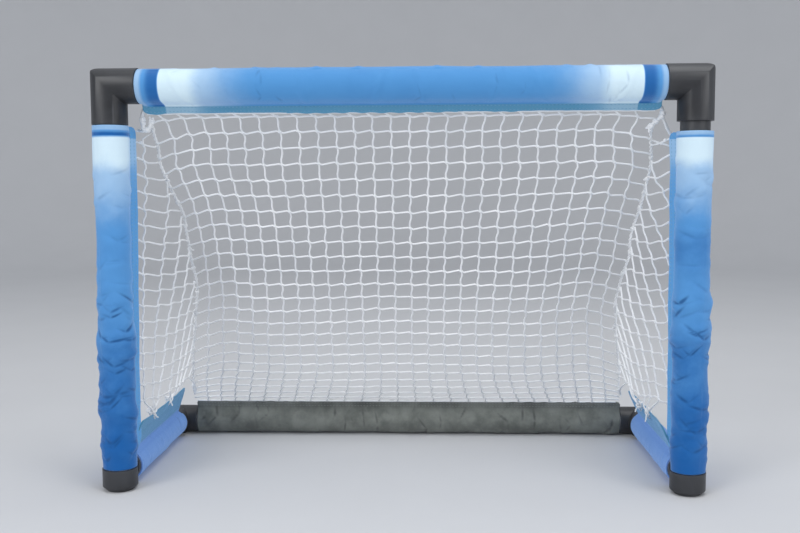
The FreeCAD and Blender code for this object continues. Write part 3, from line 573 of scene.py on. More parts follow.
lit_cloth = blue_cloth("lit blue cloth", (0.012, 0.120, 0.380), (0.085, 0.300, 0.640),
                       (0.380, 0.570, 0.790), (0.690, 0.860, 0.950), (0.105, 0.310, 0.480))
post_cloth = blue_cloth("lit blue post cloth", (0.004, 0.100, 0.350), (0.090, 0.300, 0.640),
                        (0.350, 0.550, 0.790), (0.690, 0.860, 0.950), (0.120, 0.350, 0.680), 0.30)
base_cloth = blue_cloth("lavender blue cloth", (0.060, 0.160, 0.460), (0.150, 0.300, 0.660),
                        (0.30, 0.45, 0.78), (0.45, 0.58, 0.86), (0.065, 0.230, 0.360))

grey_paint = Fabric("plain grey cloth")
grey_threads = grey_paint.weave(0.9 * mm)
grey_cloud = grey_paint.noise(30, 5.0, 0.6).ramp(0.3, 0.7)
# Painted shade: the grey cloth darkens in the valleys of its folds.
grey_fold = grey_paint.attribute("fold").ramp(0.1, 0.9) * 0.7
grey_colour = grey_paint.mix(grey_cloud, (0.105, 0.116, 0.104), (0.225, 0.243, 0.220))
grey_colour = grey_paint.mix(grey_fold, grey_colour, (0.045, 0.047, 0.047))
grey_cloth = grey_paint.done(
    Base_Color=grey_paint.mix(grey_threads * 0.25, grey_colour, (0.05, 0.052, 0.055)),
    Roughness=0.66 + 0.16 * grey_threads,
    Normal=grey_paint.bump(grey_threads, 0.12 * mm, 0.5),
    Sheen_Weight=0.2,
)

sewing_thread = grained("pale sewing thread", (0.16, 0.37, 0.56), (0.26, 0.48, 0.68),
                        (0.5, 2.0), (0.6, 0.2), (0.05, 0.5))
grey_thread = grained("grey sewing thread", (0.20, 0.205, 0.21), (0.30, 0.305, 0.31),
                      (0.5, 2.0), (0.6, 0.2), (0.05, 0.5))


class Pattern(Tree):
    """A geometry tree with named inputs, run on a guide mesh and left as a plain mesh."""

    def __init__(self, name):
        super().__init__(bpy.data.node_groups.new(name, "GeometryNodeTree"))
        self.sockets = {}
        self.entry = self.tree.nodes.new("NodeGroupInput")
        self.guide = self.socket("Guide", "NodeSocketGeometry")
        self.tree.interface.new_socket(name="Result", in_out="OUTPUT", socket_type="NodeSocketGeometry")

    def socket(self, name, kind="NodeSocketFloat"):
        made = self.tree.interface.new_socket(name=name, in_out="INPUT", socket_type=kind)
        self.sockets[name] = made.identifier
        return Wire(self, self.entry.outputs[name])

    def finish(self, shape, material):
        real = self.node("GeometryNodeRealizeInstances", {}, {"Geometry": shape})
        painted = self.node("GeometryNodeSetMaterial", {}, {"Geometry": real, "Material": material})
        self.node("NodeGroupOutput", {}, {"Result": painted})

    def run(self, name, guide, **sizes):
        carrier = placed(name, guide)
        steps = carrier.modifiers.new("pattern", "NODES")
        steps.node_group = self.tree
        for size_name, value in sizes.items():
            steps[self.sockets[size_name.replace("_", " ")]] = value
        bpy.context.view_layer.update()
        state = bpy.context.evaluated_depsgraph_get()
        made = bpy.data.meshes.new_from_object(carrier.evaluated_get(state))
        made.name = name
        carrier.modifiers.remove(steps)
        bpy.data.objects.remove(carrier)
        return made


def guide_mesh(name, lines, **flags):
    """Separate open lines of points as a mesh of edges, with a number on each point for each flag."""
    verts, edges = [], []
    for line in lines:
        first = len(verts)
        verts += [tuple(p) for p in line]
        edges += [(k, k + 1) for k in range(first, len(verts) - 1)]
    mesh = bpy.data.meshes.new(name)
    mesh.from_pydata(verts, edges, [])
    mark(mesh, **flags)
    return mesh


def stitch_pattern(name, thread):
    """Short stitches laid end to end along each guide line."""
    pattern = Pattern(name)
    pitch, size = pattern.socket("Pitch"), pattern.socket("Thread Radius")
    curve = pattern.node("GeometryNodeMeshToCurve", {}, {"Mesh": pattern.guide})
    points = pattern.node("GeometryNodeResampleCurve", {"mode": "LENGTH"},
                          {"Curve": curve, "Length": pitch})
    bead = pattern.node("GeometryNodeMeshIcoSphere", {}, {"Radius": size, "Subdivisions": 1}, "Mesh")
    ease = pattern.node("GeometryNodeSetShadeSmooth", {}, {"Geometry": bead})
    tangent = pattern.node("GeometryNodeInputTangent")
    way = pattern.node("FunctionNodeAlignEulerToVector", {"axis": "Z"}, {"Vector": tangent})
    laid = pattern.node("GeometryNodeInstanceOnPoints", {}, {
        "Points": points, "Instance": ease, "Rotation": way, "Scale": (1.0, 1.0, 3.2)})
    pattern.finish(laid, thread)
    return pattern


blue_stitches = stitch_pattern("hem stitches", sewing_thread)
grey_stitches = stitch_pattern("grey hem stitches", grey_thread)


def end_glow(distance):
    """Light along the bar from a lit corner: a pale cuff, the dark spigot, then the bright tube end."""
    cuff = 0.62 * (1 - np.clip((distance - 4.5) / 14, 0, 1)) ** 1.5
    bright = np.clip((distance - 25.5) / 1.6, 0, 1)
    fade = 0.31 + 0.71 * np.exp(-(np.clip(distance - 51, 0, None) / 46) ** 1.2)
    return np.maximum(cuff, bright * fade)


def slackness(s, turn, seed, base, wide, narrow):
    """How far loose cloth stands off its tube, in mm: a base with wide and narrow waves on it, each
    given as its lift, its size along the tube and its turns round it."""
    return (base + wide[0] * soft_noise(s / wide[1], turn * wide[2], seed)
            + narrow[0] * soft_noise(s / narrow[1], turn * narrow[2], seed + 1))


def bar_swell(s, turn):
    """The crossbar's cloth has eight slanting pulls and a few creases."""
    slack = slackness(s, turn, 21, 1.3, (0.9, 46, 1.1), (0.4, 15, 2.2))
    pulls = sum(1.1 * ridge(s - at - 9 * turn * lean, 4.0) for at, lean in (
        (64, 1), (540, -1), (118, 0.7), (196, 0.4), (268, -0.6), (331, 0.5), (402, -0.5), (470, 0.8)))
    lift, fold = creases(s, turn, 26, 40, 560, 40, 0.5)
    return np.clip(slack + pulls + lift, 0.05, 4.0), fold


def post_swell(seed, bulges):
    """A post's cloth has slipped down: smooth at the top, puffed and crumpled towards the floor."""
    def swell(s, turn):
        slack = slackness(s, turn, seed, 1.5, (0.8, 40, 1.3), (0.4, 14, 2.4))
        slack = slack + 0.9 * np.exp(-(s / 60) ** 2)
        puffs = sum(size * ridge(s - at - 4 * np.sin(turn + at), wide) for at, size, wide in bulges)
        heavy, deep_fold = creases(s, turn, seed + 5, 200, 395, 62)
        light, soft_fold = creases(s, turn, seed + 6, 50, 240, 34, 0.85, 1.4)
        lift = np.clip(slack + puffs + 1.2 * heavy + light, -0.1, 6.5)
        return lift, np.maximum(deep_fold, soft_fold)
    return swell


def post_glow(first, cuff_end, dip):
    """Light down a post: full for a hand's width, then a long fade to the dark foot."""
    def glow(s, turn):
        cuff = 0.62 * (1 - np.clip((s - cuff_end) / 5.0, 0, 1)) ** 1.5
        bright = np.clip((s - first) / 1.4, 0, 1)
        fade = np.interp(s, (24, 38, 56, 92, 124, 215, 262, 403),
                         (1.03, 0.97, 0.73, 0.52, 0.36, 0.30, 0.17, 0.0))
        return np.maximum(cuff, bright * (fade - dip * ridge(s - 142, 26)))
    return glow


def slipped(shape, drop):
    """The same shape on a sleeve whose top edge has slipped down by drop, in mm."""
    return lambda s, *turn: shape(s + drop, *turn)


def base_swell(seed):
    def swell(s, turn):
        slack = slackness(s, turn, seed, 0.9, (0.8, 30, 1.2), (0.3, 12, 2.4))
        lift, fold = creases(s, turn, seed + 5, 5, 200, 22, 0.6)
        return np.clip(slack + lift, -0.1, 3.0), fold
    return swell


def rear_swell(s, turn):
    slack = slackness(s, turn, 61, 1.0, (0.9, 22, 1.5), (0.4, 9, 2.5))
    lift, fold = creases(s, turn, 66, 5, 600, 70)
    return np.clip(slack + 1.1 * lift, -0.1, 3.6), fold


def hem_twist(s):
    """Degrees that a post's hem leans further back, s mm below the top of the left one."""
    return 18 + 9 * np.clip(s / 330, 0, 1)


def post_wring(sign):
    return lambda s: sign * np.radians(hem_twist(s))


def post_tuck(s):
    """The end of a post's hem is drawn in above the foot."""
    return np.clip((s - 372) / 28, 0, 1) ** 1.5 * 0.95


HEM_LEAN = 35
BAR_HALF, REAR_HALF = 300, 304
slope = math.atan2(393.4, 228.8)
SLEEVES = {
    "crossbar_sleeve": dict(
        start=(-BAR_HALF, -REAR_Y, BAR_Z), end=(BAR_HALF, -REAR_Y, BAR_Z),
        hem_way=(0, math.cos(slope), -math.sin(slope)), swell=bar_swell, scallop=0.5,
        glow=lambda s, turn: end_glow(np.minimum(s, 2 * BAR_HALF - s))),
    "rear_base_sleeve": dict(
        start=(-REAR_HALF, REAR_Y, BASE_Z), end=(REAR_HALF, REAR_Y, BASE_Z),
        hem_way=(0, -math.cos(slope), math.sin(slope)), swell=rear_swell, scallop=0.6,
        glow=lambda s, turn: s * 0),
}
SIDE_CLOTH = {
    "left": dict(
        slip=0.0, glow=post_glow(12, 5, 0.0), base_rise=70, base_seed=51,
        swell=post_swell(31, (
            (250, 3.4, 13), (268, 2.0, 6), (300, 1.2, 12), (334, 3.2, 11), (376, 1.6, 10)))),
    "right": dict(
        slip=10.5, glow=post_glow(17, 14.5, 0.12), base_rise=66, base_seed=55,
        swell=post_swell(41, (
            (208, 2.2, 16), (240, 3.4, 12), (252, 2.4, 5), (318, 1.8, 18), (380, 1.4, 10)))),
}
for side, sign in SIDES.items():
    cloth = SIDE_CLOTH[side]
    slip = cloth["slip"]
    lean, rise = math.radians(HEM_LEAN), math.radians(cloth["base_rise"])
    SLEEVES[f"{side}_post_sleeve"] = dict(
        start=(sign * POST_X, -REAR_Y, POST_TOP - slip), end=(sign * POST_X, -REAR_Y, POST_FOOT),
        hem_way=(-sign * math.cos(lean), math.sin(lean), 0),
        swell=slipped(cloth["swell"], slip), glow=slipped(cloth["glow"], slip),
        wring=slipped(post_wring(sign), slip), tuck=slipped(post_tuck, slip))
    SLEEVES[f"{side}_base_sleeve"] = dict(
        start=(sign * POST_X, -106, BASE_Z), end=(sign * POST_X, 101, BASE_Z),
        hem_way=(-sign * math.cos(rise), 0, math.sin(rise)), reach=56, hem=37,
        swell=base_swell(cloth["base_seed"]),
        # The base sleeves get a fixed painted glow, a little uneven along them.
        glow=lambda s, turn: 0.34 + 0.12 * soft_noise(s / 40, turn, 77))

for name, shape in SLEEVES.items():
    material, slot, pattern = (
        (grey_cloth, "grey_cloth", grey_stitches) if name == "rear_base_sleeve" else
        (base_cloth if "base" in name else post_cloth if "post" in name else lit_cloth,
         "blue_cloth", blue_stitches))
    piece, cut, seams = sleeve(f"{name}_cloth", name, material=material, slot=slot, **shape)
    sewn = pattern.run(f"{name}_stitches", guide_mesh("stitch lines", seams), Pitch=4.4 * mm,
                       Thread_Radius=0.42 * mm)
    stitches = shown(f"{name}_stitches", sewn, None)


# The back net.
# White braided twine about 2 mm thick, knotted into meshes about 20 mm across and hung by its top
# row along the crossbar hem. It sags forward of the straight slope and is tied off along the rear hem.

NET_COLUMNS = 27
NET_ROWS = 25
NET_PITCH = 19.45
TOP_ROW = 5.0
NET_SAG = 43
TWINE_RADIUS = 1.18
KNOT_RADIUS = 1.85
BAR_HEM = (-114.4, 444.2)
REAR_HEM = (114.4, 50.8)
back_way, down_way = REAR_HEM[0] - BAR_HEM[0], REAR_HEM[1] - BAR_HEM[1]
slope_length = math.hypot(back_way, down_way)
down_slope = np.array([0, back_way / slope_length, down_way / slope_length])
off_slope = np.array([0, down_slope[2], -down_slope[1]])

# The laced edge's own wander, in mm outwards, at fractions down the slope.
SEAM_SWAY = {
    -1: ((0.0, 0.07, 0.145, 0.2, 0.26, 0.55, 0.66, 0.8, 0.9, 1.0), (-4, -6, 6, 4, 0, 0, 5, 5.5, 8, 4)),
    1: ((0.0, 0.055, 0.15, 0.2, 0.44, 0.62, 1.0), (-5, -8.5, 11, 13, 13, 1, 0)),
}


def seam_x(s, sign):
    """How far out a side's laced seam is, in mm, a fraction s down the slope."""
    gathered = 22 * np.sin(math.pi * np.clip(s, 0, 1) ** 0.85) ** 1.3
    return (296 + 8 * np.exp(-(s / 0.13) ** 2) - gathered + 14 * np.clip(s - 0.62, 0, 1) ** 0.9
            + np.interp(s, *SEAM_SWAY[sign]))


def row_fraction(row):
    """The fraction down the slope of a row; the first is a short one under the hem."""
    down = np.where(row < 1, row * TOP_ROW, TOP_ROW + (row - 1) * NET_PITCH)
    return down / (TOP_ROW + (NET_ROWS - 1) * NET_PITCH)


def net_place(column, row):
    """Where the net lies at a column and row, either of which may be a fraction. Its rows slide down
    the slope and droop at both edges, and its lowest strands spread towards the corners."""
    across = 2 * column / NET_COLUMNS - 1
    edge = np.clip(1 - np.minimum(column, NET_COLUMNS - column) / 2.6, 0, 1)
    inside = np.clip(np.minimum(row, NET_ROWS - row) / 2.0, 0, 1)
    above_hem = np.clip((NET_ROWS - row) / 7, 0, 1)
    wander = soft_noise(column / 2.2, row / 2.2, 101, 2)
    s = row_fraction(row)
    droop = (12 + 26 * s) * edge ** 1.5 * np.minimum(inside, above_hem)
    slide = (11 + 21 * across ** 2 + 4 * across ** 3) * np.sin(math.pi * s ** 2)
    s = np.clip(s + (droop + slide + 1.6 * wander * inside) / slope_length, 0, 1)
    left, right = seam_x(s, -1), seam_x(s, 1)
    spread = across + 0.05 * np.sin(math.pi * across) * np.clip((row - 19) / 6, 0, 1) ** 1.5
    x = spread * (left + right) / 2 + spread ** 2 * (right - left) / 2
    x = x + 1.5 * soft_noise(column / 2.0, row / 2.4, 102, 2) * inside * (1 - edge)
    belly = NET_SAG * np.sin(math.pi * s ** 1.35) ** 0.8 * (1 - np.abs(across) ** 4)
    belly = belly + 2.2 * soft_noise(column / 1.7, row / 1.7, 103, 2) * inside
    return (np.stack([x, np.full_like(x, BAR_HEM[0]), np.full_like(x, BAR_HEM[1])], -1)
            + s[..., None] * slope_length * down_slope + belly[..., None] * off_slope)


def crossing_kink(f):
    """The sideways step of a strand between two knots: it leaves low and comes in high."""
    step = np.where(f < 0.12, -f / 0.12, -1 + 2 * ((f - 0.12) / 0.76).clip(0, 1))
    return step * np.where(f > 0.88, (1 - f) / 0.12, 1.0)


def net_strands(columns, rows, steps=6):
    """The lines of both ways of strand and the places of the knots."""
    lines, cells = [], 4000
    lower = 1.0 + 0.25 * np.random.default_rng(7).standard_normal(cells)
    for column in columns:
        row = np.arange(0, NET_ROWS * steps + 1) / steps
        cell = np.floor(row).astype(int) + 40 * column
        bow = 0.038 * lower[cell % cells] * np.sin(math.tau * (row - np.floor(row)))
        bow[row < 1] = 0
        hang = -0.55 * np.clip(1 - row, 0, 1) * (1 if column % 2 else 0.9)
        lines.append(net_place(column + bow + hang * 0.6, row) * mm)
    for row in rows:
        column = np.arange(0, NET_COLUMNS * steps + 1) / steps
        cell = np.floor(column).astype(int) + 40 * row + 2000
        rise = -0.062 * lower[cell % cells] * crossing_kink(column - np.floor(column))
        lines.append(net_place(column, row + rise) * mm)
    knots = [net_place(np.array(float(column)), np.array(float(row))) * mm
             for column in columns for row in rows]
    return lines, knots


twine_paint = Finish("white braided twine")
run_of_twine = twine_paint.node("ShaderNodeAttribute", {"attribute_name": "along"}, {}).out("Fac")
round_twine = twine_paint.node("ShaderNodeAttribute", {"attribute_name": "around"}, {}).out("Fac")
twine_grime = twine_paint.noise(30, 4.0).ramp(0.3, 0.75)
twine_fuzz = twine_paint.noise(0.5, 3.0)
lay, twist = run_of_twine * (math.tau / (2.2 * mm)), round_twine * (2 * math.tau)
plait = (lay + twist).sine().most((lay - twist).sine())
twine_colour = twine_paint.mix(twine_grime, (0.80, 0.82, 0.84), (0.93, 0.94, 0.95))
# Painted shade: the twine is darker in the grooves between its plies.
ply_groove_shade = twine_paint.mix(0.15, twine_colour, (0.45, 0.48, 0.52))
white_twine = twine_paint.done(
    Base_Color=twine_paint.mix(plait.ramp(-0.2, 0.8), ply_groove_shade, twine_colour),
    Roughness=0.72 + 0.1 * twine_fuzz,
    Normal=twine_paint.bump(plait + 0.4 * twine_fuzz, 0.10 * mm, 0.4),
    Sheen_Weight=0.2,
)

knotting = Pattern("knotted netting")
twine_radius, knot_size = knotting.socket("Twine Radius"), knotting.socket("Knot Size")
twine_sides = knotting.socket("Twine Sides", "NodeSocketInt")
is_knot = knotting.node("GeometryNodeInputNamedAttribute", {"data_type": "FLOAT"}, {"Name": "knot"},
                        "Attribute")
apart = knotting.node("GeometryNodeSeparateGeometry", {"domain": "POINT"},
                      {"Geometry": knotting.guide, "Selection": is_knot.over(0.5)})
strand = knotting.node("GeometryNodeMeshToCurve", {}, {"Mesh": apart.out("Inverted")})
ring = knotting.node("GeometryNodeCurvePrimitiveCircle", {"mode": "RADIUS"},
                     {"Resolution": twine_sides, "Radius": twine_radius}, "Curve")
measured = []
for curve, name, reading in ((strand, "along", "Length"), (ring, "around", "Factor")):
    value = knotting.node("GeometryNodeSplineParameter", {}, {}, reading)
    measured.append(knotting.node(
        "GeometryNodeStoreNamedAttribute", {"data_type": "FLOAT", "domain": "POINT"},
        {"Geometry": curve, "Name": name, "Value": value}))
twine = knotting.node("GeometryNodeCurveToMesh", {}, {
    "Curve": measured[0], "Profile Curve": measured[1], "Fill Caps": True})
lump = knotting.node("GeometryNodeMeshIcoSphere", {}, {"Radius": 1.0, "Subdivisions": 2}, "Mesh")
askew, uneven = (
    knotting.node("FunctionNodeRandomValue", {"data_type": "FLOAT_VECTOR"},
                  {0: low, 1: high, "Seed": seed})
    for low, high, seed in (((-0.5, -0.5, -0.5), (0.5, 0.5, 0.5), 5),
                            ((0.85, 0.85, 0.75), (1.25, 1.1, 1.1), 6)))
bulk = knotting.node("ShaderNodeVectorMath", {"operation": "SCALE"}, {0: uneven, "Scale": knot_size})
lumps = knotting.node("GeometryNodeInstanceOnPoints", {}, {
    "Points": apart, "Instance": lump, "Rotation": askew, "Scale": bulk})
joined = knotting.node("GeometryNodeJoinGeometry", {}, {"Geometry": twine})
knotting.tree.links.new(lumps.socket, joined.socket.node.inputs["Geometry"])
soft = knotting.node("GeometryNodeSetShadeSmooth", {}, {"Geometry": joined})
knotting.finish(soft, white_twine)


def netting(name, node, lines, knots, radius=TWINE_RADIUS, knot=KNOT_RADIUS, sides=6):
    """Twine along every line and a small knot at every place."""
    flags = [0.0] * sum(len(line) for line in lines) + [1.0] * len(knots)
    guide = guide_mesh(name, list(lines) + [[p] for p in knots], knot=flags)
    mesh = knotting.run(name, guide, Twine_Radius=radius * mm, Knot_Size=knot * mm, Twine_Sides=sides)
    shown(name, mesh, None, node)


strands, crossings = net_strands(range(1, NET_COLUMNS), range(1, NET_ROWS))
hem_run = np.arange(0.15, NET_COLUMNS - 0.1, 0.2)
strands.append(net_place(hem_run, 0 * hem_run + 0.06 * np.sin(math.tau * hem_run)) * mm)
strands.append(net_place(hem_run, 0 * hem_run + NET_ROWS - 0.02) * mm)
netting("back_netting", "back_net", strands, crossings)


# The side nets.
# Two narrow pieces of the same netting, each looped at every row to a post's hem and laced to the
# back net along the seam. Their lower ends are gathered into knots on the base hems.

SIDE_ROWS = 17
SIDE_PITCH = 19.6
SIDE_TOP = 410
SLANT_FROM = 270
# Each side's column spacing and first column, in mm behind the hem, and its slant.
SIDE_COLUMNS = {"left": (25.0, 7.0, 0.0), "right": (25.0, 1.8, 0.36)}
BASE_TIES = {"left": ((317, -60, 78), (316, 12, 76)), "right": ((312, -28, 71), (311, 17, 70))}


def seam_fraction(z):
    return np.clip((BAR_HEM[1] - z) / (BAR_HEM[1] - REAR_HEM[1]), 0, 1)


def seam_place(s, sign):
    """A point on a side's laced seam, in mm, with x counted outwards, a fraction s down."""
    s = np.asarray(s, dtype=float)
    return np.stack([seam_x(s, sign), BAR_HEM[0] + s * slope_length * down_slope[1],
                     BAR_HEM[1] + s * slope_length * down_slope[2]], -1)


def hem_edge(z):
    """How far out and how far back the tip of a post's hem is at a height, in mm."""
    angle = np.radians(HEM_LEAN + hem_twist(POST_TOP - z))
    return POST_X - 35.4 * np.cos(angle), -REAR_Y + 35.4 * np.sin(angle)


def seam_depth(z, sign):
    """How far behind the post hem the seam is at a height."""
    return seam_place(seam_fraction(z), sign)[..., 1] - hem_edge(z)[1]


def side_place(depth, z, sign, seed):
    """A point of a side net, depth mm behind the post hem at height z."""
    back = seam_place(seam_fraction(z), sign)
    out, front = hem_edge(z)
    full = np.maximum(back[..., 1] - front, 1.0)
    f = np.clip(depth / full, 0, 1)
    middle = np.sin(math.pi * f)
    x = out + (back[..., 0] - out) * f - 5.0 * middle
    x = x + 1.6 * soft_noise(depth / 40, z / 40, seed, 2) * middle
    y = front + depth + 1.5 * soft_noise(depth / 35, z / 35, seed + 1, 2) * middle
    gathered = (0.62 * np.clip((168 - z) / 78, 0, 1) ** 1.2 * np.clip(depth / 22, 0, 1)
                * np.clip((full - depth) / 40, 0, 1))
    first, second = (tie[1] for tie in BASE_TIES["left" if sign < 0 else "right"])
    halfway = np.clip((y - (first + second) / 2) / 36 + 0.5, 0, 1)
    y = y + gathered * (first + (second - first) * halfway ** 2 * (3 - 2 * halfway) - y)
    lift = 1.8 * soft_noise(depth / 35, z / 35, seed + 2, 2) - 4.0 * middle
    return np.stack([sign * x, y, z + lift * middle ** 0.5], -1)


for side, sign in SIDES.items():
    seed = 200 if sign < 0 else 260
    luck = np.random.default_rng(seed)
    pitch, first, slant = SIDE_COLUMNS[side]
    lines, knots = [], []
    heights = [SIDE_TOP - SIDE_PITCH * k for k in range(SIDE_ROWS)]
    foot = heights[-1] - 4
    for height in heights:
        back = float(seam_depth(height - 5, sign))
        depth = np.concatenate([[-0.5, 3.0], np.arange(7.0, back, 4.0), [back]])
        f = (depth - first - slant * (height - SLANT_FROM)) / pitch
        step = -1.3 * crossing_kink(f - np.floor(f)) * (depth > 7)
        fall = np.where(depth < 7, 3.0 - depth * 0.4, 0) - 2.0 * np.clip(1 - (back - depth) / 20, 0, 1)
        lines.append(side_place(depth, height + fall + step, sign, seed) * mm)
        knots.append(side_place(np.array(1.0), np.array(height + 2.6), sign, seed) * mm)
    for c in range(-3, 14):
        by_hem = c == 0 and not slant

        def column_depth(z):
            depth = first + c * pitch + slant * (z - SLANT_FROM)
            return np.minimum(depth, 0.22 * seam_depth(z, sign)) if by_hem else depth

        z = np.arange(418.0, foot, -1.0)
        z = z[(column_depth(z) < seam_depth(z, sign) - 2) & (column_depth(z) > -0.4)]
        if len(z) < 12:
            continue
        knots += [side_place(column_depth(np.array(h)), np.array(h), sign, seed) * mm for h in heights
                  if z[-1] + 3 < h < z[0] - 1]
        top, bottom = float(z[0]), float(z[-1])
        z = np.append(np.arange(top, bottom, -3.9), bottom)
        f = (SIDE_TOP - z) / SIDE_PITCH
        sway = 1.2 * np.sin(math.tau * (f - np.floor(f))) * np.clip((top - z) / 8, 0, 1)
        depth = column_depth(z) + sway * np.clip(column_depth(z) / 6, 0, 1)
        line = side_place(depth, z, sign, seed)
        if by_hem:
            hem_tip = side_place(np.array([-0.5, 1.5]), np.array([425.0, 423.5]), sign, seed)
            line = np.concatenate([hem_tip, line])
        if bottom < foot + 2:
            y_foot = line[-1, 1]
            tie = BASE_TIES[side][0 if y_foot < -22 else 1] if y_foot < 45 else (301, 97, 66)
            end = np.array([sign * tie[0], tie[1], tie[2]]) + luck.uniform(-2.0, 2.0, 3)
            t = np.linspace(0.12, 1, 9)[:, None]
            bow = np.sin(math.pi * t) * np.array([[-sign * 3.0, luck.uniform(-5, 5), 0]])
            line = np.concatenate([line, line[-1] + (end - line[-1]) * t ** 0.9 + bow])
        lines.append(line * mm)
    netting(f"{side}_side_netting", f"{side}_side_net", lines, knots)


# The laced seams.
# Back and side nets are drawn together by a doubled cord, twisted on itself and whipped at every row,
# with a small hitch here and there.


def rope_path(points, step=1.2):
    """Evenly read points, in metres, of a smooth route through the control points, in mm."""
    route = bpy.data.curves.new("route", "CURVE")
    route.dimensions = "3D"
    route.resolution_u = 16
    spline = route.splines.new("NURBS")
    spline.points.add(len(points) - 1)
    for place, point in zip(points, spline.points):
        point.co = (*(Vector(place) * mm), 1)
    spline.order_u = 3
    spline.use_endpoint_u = True
    carrier = bpy.data.objects.new("route", route)
    read = bpy.data.meshes.new_from_object(carrier)
    line = np.array([v.co for v in read.vertices])
    bpy.data.objects.remove(carrier)
    bpy.data.meshes.remove(read)
    runs = run_along(line)
    even = np.linspace(0, runs[-1], max(4, int(runs[-1] / (step * mm))))
    return np.stack([np.interp(even, runs, line[:, k]) for k in range(3)], -1)


def frames_along(line):
    """Two steady sideways directions at every point of a line."""
    way = np.gradient(line, axis=0)
    way /= np.linalg.norm(way, axis=1)[:, None]
    side = np.cross(way[0], (0.31, 0.83, 0.46))
    sides = []
    for forward in way:
        side = side - forward * (side @ forward)
        side = side / np.linalg.norm(side)
        sides.append(side)
    sides = np.array(sides)
    return sides, np.cross(way, sides)


def laid_strands(line, plies, lay, pitch):
    """The centre lines of the plies of a twisted cord round a line."""
    side, other = frames_along(line)
    run = run_along(line)
    lines = []
    for ply in range(plies):
        angle = (math.tau * (ply / plies + run / (pitch * mm)))[:, None]
        lines.append(line + side * np.cos(angle) * (lay * mm) + other * np.sin(angle) * (lay * mm))
    return lines


def wrap_round(line, at, turns, reach, width):
    """A few tight turns of cord round a line, at a fraction of its length."""
    side, other = frames_along(line)
    middle = int(at * (len(line) - 1))
    forward = line[min(middle + 1, len(line) - 1)] - line[max(middle - 1, 0)]
    forward = forward / np.linalg.norm(forward)
    f = np.linspace(0, 1, int(turns * 9) + 1)[:, None]
    angle = f * turns * math.tau
    return (line[middle] + forward * (f - 0.5) * width * mm
            + (side[middle] * np.cos(angle) + other[middle] * np.sin(angle)) * reach * mm)


SEAM_TOPS = {"left": (292, -112, 437), "right": (289, -112.5, 426)}
for side, sign in SIDES.items():
    luck = np.random.default_rng(300 if sign < 0 else 320)
    top = SEAM_TOPS[side]
    route = [(sign * top[0], top[1], top[2])]
    for s in np.linspace(0.055, 0.955, 22):
        x, y, z = seam_place(s, sign)
        jog = luck.uniform(-2.4, 2.4, 3)
        route.append((sign * (x + jog[0]), y + jog[1], z + jog[2]))
    route.append((sign * 303, 105, 62))
    line = rope_path(route)
    lines = laid_strands(line, 2, 0.95, 11)
    for s in np.linspace(0.03, 0.97, 13):
        lines.append(wrap_round(line, s + luck.uniform(-0.01, 0.01), luck.choice([1.2, 1.6, 2.2]), 1.9,
                                luck.uniform(2.0, 4.0)))
    knots = []
    for s in (0.18, 0.27, 0.43, 0.62, 0.71, 0.86):
        middle = line[int(s * (len(line) - 1))]
        knots.append(middle + luck.uniform(-1, 1, 3) * mm)
        tail = middle + np.linspace(0, 1, 5)[:, None] * luck.uniform(-5, 5, 3) * mm
        lines.append(tail + np.sin(np.linspace(0, 3, 5))[:, None] * luck.uniform(-1, 1, 3) * mm)
    netting(f"{side}_lacing_cord", f"{side}_seam_lacing", lines, knots, radius=1.05, knot=2.6, sides=8)


# The corner ties.
# A thick soft cord ties each seam's top end to the ends of the crossbar hem and the post hem.
# Its cut end is a frayed knot.

TIE_ROUTES = {
    "left": ((300, -114.5, 449), (302.5, -117, 443), (301, -116, 434), (301.5, -115, 426),
             (297, -114, 424), (293, -113, 431), (291.5, -112, 437)),
    "right": ((300, -114.5, 449), (302, -116.5, 443), (301.5, -116, 437), (297, -115, 433.5),
              (292, -113.5, 429), (288, -112.5, 424.5)),
}
TIE_LINKS = {
    "left": ((300, -115, 425), (304, -111, 423), (309.5, -106.5, 426.5)),
    "right": ((301, -115.5, 438), (305.5, -112, 430), (309.5, -108, 422.5), (314.5, -103.5, 417)),
}

for side, sign in SIDES.items():
    luck = np.random.default_rng(400 if sign < 0 else 430)
    down = [(sign * x, y, z) for x, y, z in TIE_ROUTES[side]]
    line = rope_path(down, 1.0)
    lines = laid_strands(line, 3, 1.15, 7)
    knots = [line[int(f * (len(line) - 1))] for f in (0.42, 0.66, 1.0)]
    link = rope_path([(sign * x, y, z) for x, y, z in TIE_LINKS[side]], 1.0)
    lines += laid_strands(link, 2, 0.8, 5)
    for at, turns in ((0.3, 2.4), (0.72, 1.8), (0.95, 2.6)):
        lines.append(wrap_round(line, at, turns, 2.6, 3.4))
    bud = line[-1]
    for k in range(6):
        way = luck.normal(size=3)
        way /= np.linalg.norm(way)
        f = np.linspace(0, 1, 5)[:, None]
        lines.append(bud + (way * f * 5.0 + luck.uniform(-1.2, 1.2, 3) * np.sin(f * 3)) * mm)
    netting(f"{side}_tie_cord", f"{side}_corner_tie", lines, knots, radius=1.25, knot=3.1, sides=8)


# The base knots.
# The side net's lowest strands are gathered and tied through the base hem in two tangled knots.

